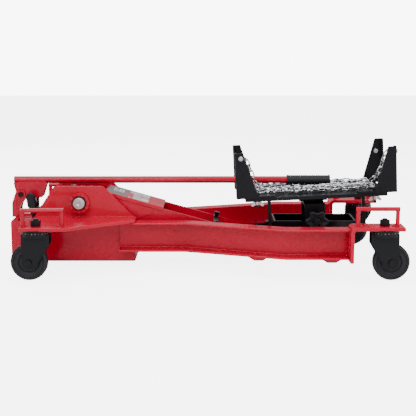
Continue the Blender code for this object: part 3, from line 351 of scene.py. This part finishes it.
def frame_welds(label, side, draw):
    """The welds of one side: its rear plate, rail, front bracket, guards and cross members."""
    welds = bmesh.new()
    thin, middling, thick = 0.0022, 0.0026, 0.0028
    _, _, plate_high = middle("rear_plate_" + label)
    top = plate_high.z
    wall_y = side * 0.0885
    rear, rail_rear = -0.478, -0.205
    rail_low, rail_high = 0.062, 0.134
    bead(welds, (rear, wall_y, top), (rail_rear, wall_y, top), thick, draw)
    bead(welds, (rail_rear, wall_y, 0.1395), (rail_rear, wall_y, rail_low), middling, draw)
    _, bracket_low, bracket_high = middle("front_bracket_" + label)
    butt = bracket_low.x - 0.0008
    inner, outer = side * 0.196, side * 0.237
    bead(welds, (butt, inner, rail_low), (butt, inner, rail_high), middling, draw)
    bead(welds, (butt, inner, 0.1398), (butt, outer, 0.1398), thick, draw)
    foot_in, foot_r, foot_weld = 0.0115, 0.0066, 0.0021
    for guard, foot in (("guard_front_", bracket_high.z), ("guard_rear_", top)):
        _, low, high = middle(guard + label)
        for x in (low.x + foot_in, high.x - foot_in):
            ring_bead(welds, (x, side * 0.235, foot + 0.0006), foot_r, foot_weld, draw)
    for node in ("cross_member_rear", "cross_member_front"):
        _, low, high = middle(node)
        y = side * (high.y - 0.012)
        x = low.x + 0.002
        bead(welds, (x, y, high.z), (x, y - side * 0.026, high.z), thin, draw)
    settle("frame_welds_" + label, welds, ENAMEL, "root", weight=False, smooth=70.0)


weld_draw = random.Random(7)
for label, side in (("right", -1.0), ("left", 1.0)):
    frame_welds(label, side, weld_draw)


# ---------------------------------------------------------------- turned pieces
# Shafts, collars, wheels and grips are turned: half an outline is spun about their axis.
def lathe(profile, centre, axis, steps=48):
    """A bmesh of revolution: pairs of radius and height along the axis."""
    shape = bmesh.new()
    points = [shape.verts.new((radius, 0.0, height)) for radius, height in profile]
    edges = [shape.edges.new(pair) for pair in zip(points, points[1:])]
    bmesh.ops.spin(shape, geom=points + edges, cent=(0, 0, 0), axis=(0, 0, 1), angle=2 * math.pi,
                   steps=steps, use_merge=True)
    bmesh.ops.remove_doubles(shape, verts=shape.verts, dist=0.000005)
    bmesh.ops.recalc_face_normals(shape, faces=shape.faces)
    turn = Vector((0, 0, 1)).rotation_difference(Vector(axis)).to_matrix().to_4x4()
    bmesh.ops.transform(shape, matrix=Matrix.Translation(centre) @ turn, verts=shape.verts)
    return shape


def softened(corners, cut=0.001):
    """A profile whose inner corners are each cut by a small chamfer."""
    out = [corners[0]]
    for before, here, after in zip(corners, corners[1:], corners[2:]):
        here = Vector(here)
        for other in (before, after):
            way = Vector(other) - here
            out.append(tuple(here + way.normalized() * min(cut, way.length * 0.4)))
    out.append(corners[-1])
    return out


def shaft_and_collars():
    """The lift arm's shaft, with centre drillings, and a castellated collar and a seal on each side."""
    mid, low, high = middle("pivot_shaft")
    radius, half = (high.z - low.z) / 2, high.y
    drill_in, drill_out, drill_deep = 0.0035, 0.0045, 0.004
    end = [(0.0, -half + drill_deep), (drill_in, -half + drill_deep), (drill_out, -half), (radius, -half)]
    profile = end + [(r, -along) for r, along in reversed(end)]
    settle("shaft_turned", lathe(softened(profile, 0.0012), mid, (0, 1, 0)), ZINC, "root",
           "pivot_shaft")
    bore, rim, thick, teeth = 0.0212, 0.0292, 0.0095, 12
    for label, side in (("right", -1.0), ("left", 1.0)):
        outline = [(bore, 0.0), (rim, 0.0), (rim, thick), (bore, thick), (bore, 0.0)]
        ring = lathe(softened(outline, 0.0008), (0, 0, 0), (0, 0, 1), 48)
        for n in range(teeth):
            turn = 2 * math.pi * n / teeth
            tooth = bmesh.ops.create_cube(ring, size=1.0)["verts"]
            bmesh.ops.scale(ring, vec=(0.0072, 0.0080, 0.0034), verts=tooth)
            bmesh.ops.translate(ring, vec=((bore + rim) / 2, 0, thick + 0.0013), verts=tooth)
            bmesh.ops.rotate(ring, matrix=Matrix.Rotation(turn, 3, "Z"), verts=tooth)
        spot = Matrix.Translation((mid.x, side * 0.0930, mid.z))
        turned = Matrix.Rotation(-side * math.pi / 2, 4, "X")
        bmesh.ops.transform(ring, matrix=spot @ turned, verts=ring.verts)
        settle("shaft_collar_" + label, ring, ENAMEL, "root")
        inner, outer, lip = radius + 0.0004, 0.0205, 0.0062
        outline = [(inner, 0.0), (outer, 0.0), (outer, lip), (inner, lip), (inner, 0.0)]
        seal = lathe(outline, (mid.x, side * 0.0960, mid.z), (0, side, 0), 40)
        settle("shaft_seal_" + label, seal, RUBBER, "root")


shaft_and_collars()


# ---------------------------------------------------------------- casters
# Swivel casters: a stem with a heavy nut, a row of balls between pressed races, a pressed fork,
# and a hard rubber wheel with a moulded tread band and a recessed hub, on a bolt.
def caster(label):
    name = "caster_" + label
    eased(name + "_mount", 0.0010, COAT)
    eased(name + "_fork", 0.0012, COAT, 2)
    _, low, high = middle(name + "_wheel")
    joint = next(j for j in frame["joints"] if j["name"] == "wheel_" + label + "_spin")
    centre, axis = Vector(joint["pos_m"]), Vector(joint["axis"])
    r, h = (high.z - low.z) / 2, 0.016
    hub = [(0.0066, h), (0.0148, h), (0.0170, h - 0.0010), (0.0186, h - 0.0070)]
    web = [(0.0272, h - 0.0074), (0.0286, h - 0.0048), (0.0302, h - 0.0042), (0.0402, h - 0.0044)]
    wall = [(0.0418, h - 0.0034), (0.0426, h - 0.0012), (0.0438, h - 0.0008), (0.0466, h - 0.0012)]
    tread = [(r - 0.0020, h - 0.0034), (r - 0.0005, h - 0.0068), (r, h - 0.0095), (r, 0.0012),
             (r - 0.0004, 0.0)]
    profile = hub + web + wall + tread
    whole = profile + [(a, -b) for a, b in reversed(profile[:-1])] + [profile[0]]
    settle(name + "_tyre", lathe(whole, centre, axis, 64), RUBBER, "wheel_" + label,
           name + "_wheel", weight=False, smooth=50.0)
    stem, stem_low, _ = middle(name + "_mount")
    count, ring_r, ball_r, lift = 26, 0.0388, 0.0022, 0.0042
    balls = bmesh.new()
    for n in range(count):
        turn = 2 * math.pi * n / count
        ball = bmesh.ops.create_uvsphere(balls, u_segments=10, v_segments=6, radius=ball_r)["verts"]
        spot = Vector((stem.x + ring_r * math.cos(turn), stem.y + ring_r * math.sin(turn), stem_low.z + lift))
        bmesh.ops.translate(balls, vec=spot, verts=ball)
    settle(name + "_balls", balls, RACE_STEEL, "root", weight=False)


for label in ("front_right", "front_left", "rear_right", "rear_left"):
    caster(label)


# ---------------------------------------------------------------- hydraulic unit
# A cast pump body carries the plunger barrel and the release valve. The ram lies on it and pushes
# the crank's roller with a chromed rod.
for node, ease, material, slot in (
        ("pump_body", 0.0016, ENAMEL, "red_paint"), ("ram_cylinder", 0.0016, ENAMEL, "red_paint"),
        ("link_anchor", 0.0010, COAT, "black_paint"), ("arm_crank", 0.0010, COAT, "black_paint"),
        ("parallel_link", 0.0008, GLOSS_COAT, "black_paint"), ("ram_rod", 0.0008, CHROME, "chromed_steel"),
        ("pump_plunger", 0.0008, CHROME, "chromed_steel"), ("crank_roller", 0.0008, ZINC, "zinc_steel"),
        ("head_pin", 0.0008, ZINC, "zinc_steel"), ("handle_bolt", 0.0009, GLOSS_COAT, "black_paint"),
        ("tilt_pin", 0.0008, ZINC, "zinc_steel")):
    eased(node, ease, material)


def raised(shape, face, shift):
    """Pull a flat face out into a solid along a shift."""
    made = bmesh.ops.extrude_face_region(shape, geom=[face])["geom"]
    bmesh.ops.translate(shape, vec=shift, verts=[g for g in made if isinstance(g, bmesh.types.BMVert)])
    bmesh.ops.recalc_face_normals(shape, faces=shape.faces)


def release_knob():
    """A flat paddle with round ends on a short stem, along the leaning axis of the valve."""
    joint = next(j for j in frame["joints"] if j["name"] == "release_turn")
    foot, axis = Vector(joint["pos_m"]), Vector(joint["axis"])
    stem_r, boss_r, stem_high = 0.0055, 0.0090, 0.031
    outline = [(0.0, 0.0), (stem_r, 0.0), (stem_r, 0.012), (boss_r, 0.012), (boss_r, 0.019), (stem_r, 0.019),
               (stem_r, stem_high), (0.0, stem_high)]
    shape = lathe(softened(outline, 0.0006), (0, 0, 0), (0, 0, 1), 32)
    paddle = bmesh.new()
    half_wide, half_thick, low, high, steps = 0.0128, 0.0076, 0.0272, 0.0768, 12
    rim = []
    for end, centre in ((1.0, high - half_wide), (-1.0, low + half_wide)):
        for n in range(steps + 1):
            turn = math.pi * n / steps
            across, up = end * half_wide * math.cos(turn), centre + end * half_wide * math.sin(turn)
            rim.append(paddle.verts.new((across, -half_thick, up)))
    raised(paddle, paddle.faces.new(rim), (0, 2 * half_thick, 0))
    sharp = [e for e in paddle.edges if e.calc_face_angle(0.0) > math.radians(60)]
    bmesh.ops.bevel(paddle, geom=sharp, offset=0.0045, affect="EDGES", segments=4, profile=0.6, material=-1)
    extra = bpy.data.meshes.new("paddle")
    paddle.to_mesh(extra)
    paddle.free()
    shape.from_mesh(extra)
    lean = Vector((0, 0, 1)).rotation_difference(axis).to_matrix().to_4x4()
    bmesh.ops.transform(shape, matrix=Matrix.Translation(foot) @ lean, verts=shape.verts)
    settle("release_paddle", shape, PLASTIC, "release_knob", "release_knob", smooth=40.0)


release_knob()


# ---------------------------------------------------------------- arm cover, its label and the arm's fittings
# A flat lid on the rear of the arm's walls carries a foil label with a grey panel, a red shape and
# plain pale blocks, with no words on it. Doublers stiffen the walls by the shaft, and a black cross
# strap ties them together further down.
def label_print(name):
    place, apply = finish(name, Coat_Weight=0.2, Coat_Roughness=0.10)
    uv = place.node("ShaderNodeUVMap", {"uv_map": "UVMap"}, {})
    u = uv.node("ShaderNodeSeparateXYZ", {}, {0: uv}, 0)
    v = uv.node("ShaderNodeSeparateXYZ", {}, {0: uv}, 1)

    def field(left, right, low, high):
        return u.above(left) * (1.0 - u.above(right)) * v.above(low) * (1.0 - v.above(high))

    def over(mask, shade, colour):
        return shade.node("ShaderNodeMix", {"data_type": "RGBA"}, {0: mask, 6: shade, 7: colour}, 2)

    grey, pale, red = (0.115, 0.115, 0.120, 1), (0.62, 0.60, 0.60, 1), (0.46, 0.02, 0.03, 1)
    shade = field(0.0, 0.52, 0.0, 1.0).blend((0.52, 0.40, 0.42, 1), grey)
    wavy = place.noise(14.0, 1.0)
    shade = over((u + v * 0.35 + wavy * 0.25).above(0.72) * field(0.30, 0.62, 0.0, 0.62), shade, red)
    for block in ((0.13, 0.18, 0.42, 0.82), (0.20, 0.24, 0.42, 0.70), (0.26, 0.31, 0.42, 0.82),
                  (0.33, 0.38, 0.42, 0.82), (0.60, 0.70, 0.55, 0.62), (0.60, 0.72, 0.68, 0.75),
                  (0.60, 0.68, 0.80, 0.87), (0.84, 0.99, 0.12, 0.90)):
        shade = over(field(*block), shade, pale)
    across = u.sum("ABSOLUTE", u - 0.915, 0.0) * 1.6 + v.sum("ABSOLUTE", v - 0.5, 0.0)
    shade = over(across.above(0.12) * (1.0 - across.above(0.20)), shade, red)
    crinkle = place.noise(160.0, 4.0)
    return apply(shade, 0.26 + crinkle * 0.14, height=crinkle, depth=0.0004, strength=0.10)


eased("arm_cover", 0.0008, ENAMEL, 2)
_, lid_low, lid_high = middle("arm_cover")
lid_deep, lid_skin = 0.0103, 0.0043
fall = (lid_high.z - lid_low.z - lid_deep) / (lid_high.x - lid_low.x)
slope = Vector((1.0, 0.0, -fall)).normalized()
rise = Vector((fall, 0.0, 1.0)).normalized()
basis = Matrix((slope, Vector((0, 1, 0)), rise)).transposed().to_4x4()


def on_arm(x, rise_by=0.0):
    """A point in the middle plane on the arm's top edge, raised square to it."""
    return Vector((x, 0.0, lid_high.z - lid_skin - fall * (x - lid_low.x))) + rise * rise_by


def arm_label():
    long, wide, thick = 0.124, 0.126, 0.0003
    tag = bmesh.new()
    bmesh.ops.create_grid(tag, x_segments=8, y_segments=4, size=0.5)
    bmesh.ops.scale(tag, vec=(long, wide, 1.0), verts=tag.verts)
    layer = tag.loops.layers.uv.new("UVMap")
    for face in tag.faces:
        for loop in face.loops:
            loop[layer].uv = (loop.vert.co.x / long + 0.5, loop.vert.co.y / wide + 0.5)
    made = bmesh.ops.extrude_face_region(tag, geom=tag.faces[:])["geom"]
    bmesh.ops.translate(tag, vec=(0, 0, thick), verts=[g for g in made if isinstance(g, bmesh.types.BMVert)])
    bmesh.ops.recalc_face_normals(tag, faces=tag.faces)
    spot = Matrix.Translation(on_arm(-0.2235, 0.00425))
    bmesh.ops.transform(tag, matrix=spot @ basis, verts=tag.verts)
    settle("arm_label", tag, label_print("label_print"), "arm", weight=False)


def arm_doubler(label, side):
    """A plate on the arm's wall by the shaft, with its edges eased."""
    _, _, arm_high = middle("lift_arm")
    rear, front, below = -0.292, -0.150, 0.0085
    low, high = sorted((side * (arm_high.y - 0.0003), side * (arm_high.y + 0.0018)))
    shape = bmesh.new()
    outline = [(rear, on_arm(rear).z - below), (front, on_arm(front).z - below), (-0.147, 0.1570),
               (-0.222, 0.1290), (rear, 0.1420)]
    face = shape.faces.new([shape.verts.new((x, low, z)) for x, z in outline])
    raised(shape, face, (0, high - low, 0))
    bmesh.ops.bevel(shape, geom=shape.edges[:], offset=0.0005, affect="EDGES", segments=2, profile=0.5,
                    material=-1)
    settle("arm_doubler_" + label, shape, ENAMEL, "arm")


def cross_strap():
    """A bar across the arm's top edges, with a knob at its far end and a pin lying along the arm."""
    _, _, arm_high = middle("lift_arm")
    strap = bmesh.new()
    made = bmesh.ops.create_cube(strap, size=1.0)["verts"]
    bmesh.ops.scale(strap, vec=(0.014, arm_high.y * 2, 0.0032), verts=made)
    bmesh.ops.bevel(strap, geom=strap.edges[:], offset=0.0006, affect="EDGES", segments=2, profile=0.5,
                    material=-1)
    spot = Matrix.Translation(on_arm(0.034, 0.0018))
    bmesh.ops.transform(strap, matrix=spot @ basis, verts=strap.verts)
    settle("arm_strap", strap, GLOSS_COAT, "arm")
    stud = on_arm(0.036, 0.003)
    neck, head, high = 0.0052, 0.0082, 0.012
    outline = [(0.0, 0.0), (neck, 0.0), (neck, 0.004), (head, 0.005), (head, high), (0.0, high)]
    knob = lathe(softened(outline, 0.0012), (stud.x, arm_high.y - 0.018, stud.z), rise, 32)
    settle("arm_strap_knob", knob, GLOSS_COAT, "arm")
    radius, long = 0.0036, 0.034
    outline = [(0.0, 0.0), (radius, 0.0), (radius, long), (0.0, long)]
    pin = lathe(softened(outline, 0.0008), (stud.x - 0.004, -arm_high.y + 0.012, stud.z + 0.0008), slope, 24)
    settle("arm_strap_pin", pin, GLOSS_COAT, "arm")


arm_label()
for label, side in (("right", -1.0), ("left", 1.0)):
    arm_doubler(label, side)
cross_strap()


# ---------------------------------------------------------------- cradle and tilting head
# A deep black tray that stays level on the arm. The head bracket tilts on the star knob's bolt,
# and the moulded star knob clamps it.
eased("cradle_tray", 0.0016, GLOSS_COAT, 3)
eased("tilt_bracket", 0.0014, COAT)


def star_knob():
    """A moulded knob with six lobes and a sunk face, on a zinc bolt with a black cap."""
    joint = next(j for j in frame["joints"] if j["name"] == "star_knob_turn")
    _, low, high = middle("star_knob")
    centre = Vector((joint["pos_m"][0], 0.0, joint["pos_m"][2]))
    shape = bmesh.new()
    count, lobes, reach, swell, thick = 72, 6, 0.0292, 0.0042, 0.0185
    rim = []
    for n in range(count):
        turn = 2 * math.pi * n / count
        out = reach + swell * math.cos(lobes * turn)
        rim.append(shape.verts.new((out * math.cos(turn), out * math.sin(turn), 0.0)))
    raised(shape, shape.faces.new(rim), (0, 0, thick))
    rims = [e for e in shape.edges if e.calc_face_angle(0.0) > math.radians(60)]
    bmesh.ops.bevel(shape, geom=rims, offset=0.0042, affect="EDGES", segments=4, profile=0.5, material=-1)
    outer = [f for f in shape.faces if f.normal.z < -0.99 and len(f.verts) > 20]
    bmesh.ops.inset_region(shape, faces=outer, thickness=0.0095, depth=0.0)
    bmesh.ops.translate(shape, vec=(0, 0, 0.0035), verts=list({v for f in outer for v in f.verts}))
    spot = Matrix.Translation(centre + Vector((0, low.y + 0.0005, 0)))
    bmesh.ops.transform(shape, matrix=spot @ Matrix.Rotation(math.radians(-90), 4, "X"), verts=shape.verts)
    settle("star_knob_grip", shape, PLASTIC, "star_knob", "star_knob")
    boss_r, shank_r, root, foot = 0.014, 0.007, low.y + 0.012, -0.0718
    outline = [(0.0, root), (boss_r, root), (boss_r, foot), (shank_r, foot), (shank_r, high.y), (0.0, high.y)]
    settle("star_knob_bolt", lathe(softened(outline, 0.0008), centre, (0, 1, 0), 40), ZINC, "star_knob")
    face, seat = low.y + 0.0010, low.y + 0.0060
    outline = [(0.0, face), (0.0085, face), (0.0100, seat), (0.0, seat)]
    settle("star_knob_cap", lathe(softened(outline, 0.0006), centre, (0, 1, 0), 32), PLASTIC, "star_knob")


star_knob()


# ---------------------------------------------------------------- saddle, bars, posts and wing nuts
# The saddle plate and its corner posts are bent plate in satin black. Each post's foot slides in a
# slot and is held by a zinc wing nut below.
eased("saddle_plate", 0.0016, COAT, 3)
eased("level_bar_rear", 0.0009, COAT)
eased("level_bar_front", 0.0009, COAT)
for label in ("rear_right", "rear_left", "front_right", "front_left"):
    eased("post_" + label, 0.0013, COAT, 3)
    eased("wing_nut_" + label, 0.0009, ZINC)


# ---------------------------------------------------------------- handle and grip
# A straight red tube on rocker plates. The grip is moulded rubber with a flange at each end and
# fine rings along it.
eased("handle", 0.0012, ENAMEL, 2)


def grip():
    mid, low, high = middle("handle_grip")
    length = high.x - low.x
    bore, thin, thick, shoulder, flange_in, flange = 0.0108, 0.0128, 0.0138, 0.0138, 0.0142, 0.0150
    profile = [(bore, 0.0), (flange_in, 0.0), (flange, 0.0010), (flange, 0.0035), (shoulder, 0.0055)]
    rings, start, end = 20, 0.0075, length - 0.0085
    step = (end - start) / rings
    for n in range(rings):
        left = start + (end - start) * n / rings
        profile += [(thin, left), (thick, left + step * 0.25), (thick, left + step * 0.65),
                    (thin, left + step * 0.9)]
    closed = length - 0.0042
    profile += [(shoulder, length - 0.0055), (flange, length - 0.0035), (flange, length - 0.0010),
                (flange_in, length), (0.0, length), (0.0, closed), (bore, closed), (bore, 0.0)]
    moulding = lathe(profile, (low.x, mid.y, mid.z), (1, 0, 0), 40)
    settle("grip_moulding", moulding, RUBBER, "handle", "handle_grip", weight=False,
           smooth=40.0)


grip()


# ---------------------------------------------------------------- retaining chain
# A welded steel chain, chromed, dropped on the saddle in loose runs to and fro on each side of
# the handle. Each link turns a quarter against the last.
def link_shape(length, width, wire):
    """One link: a round wire bent to a long ring, lying flat."""
    shape = bmesh.new()
    stations, sides = 14, 6
    straight = (length - width) / 2
    bend = (width - wire) / 2
    rings = []
    for n in range(stations):
        turn = 2 * math.pi * (n + 0.5) / stations
        shift = straight if math.cos(turn) > 0 else -straight
        spot = Vector((shift + bend * math.cos(turn), bend * math.sin(turn), 0))
        out = Vector((math.cos(turn), math.sin(turn), 0))
        ring = []
        for a in (2 * math.pi * k / sides for k in range(sides)):
            off = out * (wire / 2 * math.cos(a)) + Vector((0, 0, wire / 2 * math.sin(a)))
            ring.append(shape.verts.new(spot + off))
        rings.append(ring)
    loops = [[shape.edges.new((ring[k], ring[(k + 1) % sides])) for k in range(sides)] for ring in rings]
    for here, there in zip(loops, loops[1:] + loops[:1]):
        bmesh.ops.bridge_loops(shape, edges=here + there)
    bmesh.ops.recalc_face_normals(shape, faces=shape.faces)
    mesh = bpy.data.meshes.new("link")
    shape.to_mesh(mesh)
    shape.free()
    return mesh


def smooth_route(route, between=12, passes=10):
    """Points set close along a route, with its corners worn round."""
    dense = [a.lerp(b, k / between) for a, b in zip(route, route[1:]) for k in range(between)] + [route[-1]]
    for _ in range(passes):
        worn = [(a + b * 2 + c) / 4 for a, b, c in zip(dense, dense[1:], dense[2:])]
        dense = [dense[0]] + worn + [dense[-1]]
    return dense


def lay_chain(shape, link, route, draw, sway=0.5):
    """Set links along a route at an even pitch, each turned a quarter against the last."""
    pitch, lean, wag = 0.0176, 38, 0.15
    dense = smooth_route(route)
    travelled, due, count = 0.0, 0.0, 0
    for a, b in zip(dense, dense[1:]):
        step = (b - a).length
        while due <= travelled + step and step > 0:
            spot = a.lerp(b, (due - travelled) / step)
            turn = (b - a).normalized().to_track_quat("X", "Z").to_matrix().to_4x4()
            roll = math.radians(lean + 90 * (count % 2)) + draw.uniform(-sway, sway)
            tip = Matrix.Rotation(draw.uniform(-wag, wag), 4, "Z")
            before = set(shape.verts)
            shape.from_mesh(link)
            fresh = [v for v in shape.verts if v not in before]
            place = Matrix.Translation(spot) @ turn @ tip @ Matrix.Rotation(roll, 4, "X")
            bmesh.ops.transform(shape, matrix=place, verts=fresh)
            due += pitch
            count += 1
        travelled += step


def retaining_chain():
    joint = next(j for j in frame["joints"] if j["name"] == "saddle_pitch")
    tilt = Matrix.Translation(Vector(joint["pos_m"])) @ Matrix.Rotation(math.radians(-2.75), 4, "Y")
    bed, half_run, points = 0.0768, 0.172, 9
    draw = random.Random(23)
    link = link_shape(0.0262, 0.0165, 0.0042)
    heap = bmesh.new()
    for side in (-1.0, 1.0):
        route = []
        for layer, (rows, height) in enumerate((((0.031, 0.050), 0.0084), ((0.040, 0.058), 0.0136))):
            for n, y in enumerate(rows):
                start = -half_run if (n + layer) % 2 == 0 else half_run
                for k in range(points):
                    x = start + (-start - start) * k / (points - 1)
                    hump = max(-0.0010, 0.0022 * math.sin(x * 55.0 + n * 2.0 + side))
                    along = x + draw.uniform(-0.004, 0.004)
                    across = side * (y + draw.uniform(-0.0045, 0.0045))
                    route.append(Vector((along, across, bed + height + hump + draw.uniform(0.0, 0.0015))))
        lay_chain(heap, link, route, draw)
    bmesh.ops.transform(heap, matrix=tilt, verts=heap.verts)
    settle("chain_links", heap, CHROME, "saddle", "retaining_chain", weight=False,
           smooth=80.0)


retaining_chain()


# ---------------------------------------------------------------- post bolts and hanging chain
# A zinc bolt with washers goes through three of the posts near the tip. The chain's two ends hang
# from the bolts on the right, down to the heap.
def post_bolt(label, head, axis):
    """A washer and a hexagon head outside the post's wall, and a washer, a nut and a tip inside it."""
    axis, wall = Vector(axis), 0.005
    washer_r, hex_r, tip_r = 0.0068, 0.0058, 0.0029
    washer = softened([(0.0, 0.0), (washer_r, 0.0), (washer_r, 0.0012), (0.0, 0.0012)], 0.0003)
    hexagon = softened([(0.0, 0.0011), (hex_r, 0.0011), (hex_r, 0.0050), (0.0, 0.0050)], 0.0007)
    tip = softened([(0.0, 0.0045), (tip_r, 0.0045), (tip_r, 0.0085), (0.0, 0.0085)], 0.0006)
    back = Vector(head) - axis * wall
    for part, outline, spot, way, steps in (
            ("washer", washer, head, axis, 32), ("head", hexagon, head, axis, 6),
            ("seat", washer, back, -axis, 32), ("nut", hexagon, back, -axis, 6),
            ("tip", tip, back, -axis, 20)):
        turned = lathe(outline, spot, way, steps)
        settle(f"post_bolt_{label}_{part}", turned, ZINC, "post_" + label)


below_tip = 0.0155
_, low, high = middle("post_rear_right")
post_bolt("rear_right", (low.x + 0.0175, low.y, high.z - below_tip), (0, -1, 0))
_, low, high = middle("post_front_right")
post_bolt("front_right", (high.x - 0.0058, low.y + 0.0145, high.z - below_tip), (1, 0, 0))
_, low, high = middle("post_front_left")
post_bolt("front_left", (high.x - 0.0245, high.y, high.z - 0.0390), (0, 1, 0))


def hanging_chain(label, points):
    shape = bmesh.new()
    link = link_shape(0.0262, 0.0150, 0.0040)
    lay_chain(shape, link, [Vector(p) for p in points], random.Random(7), 0.2)
    settle("chain_hang_" + label, shape, CHROME, "post_" + label, weight=False, smooth=80.0)


hanging_chain("rear_right", (
    (0.112, -0.104, 0.320), (0.119, -0.102, 0.317), (0.126, -0.100, 0.302), (0.133, -0.098, 0.282),
    (0.140, -0.094, 0.262), (0.148, -0.086, 0.244), (0.160, -0.074, 0.233)))
hanging_chain("front_right", (
    (0.529, -0.101, 0.338), (0.521, -0.099, 0.343), (0.514, -0.097, 0.333), (0.508, -0.094, 0.312),
    (0.502, -0.090, 0.290), (0.494, -0.083, 0.270), (0.482, -0.074, 0.256)))
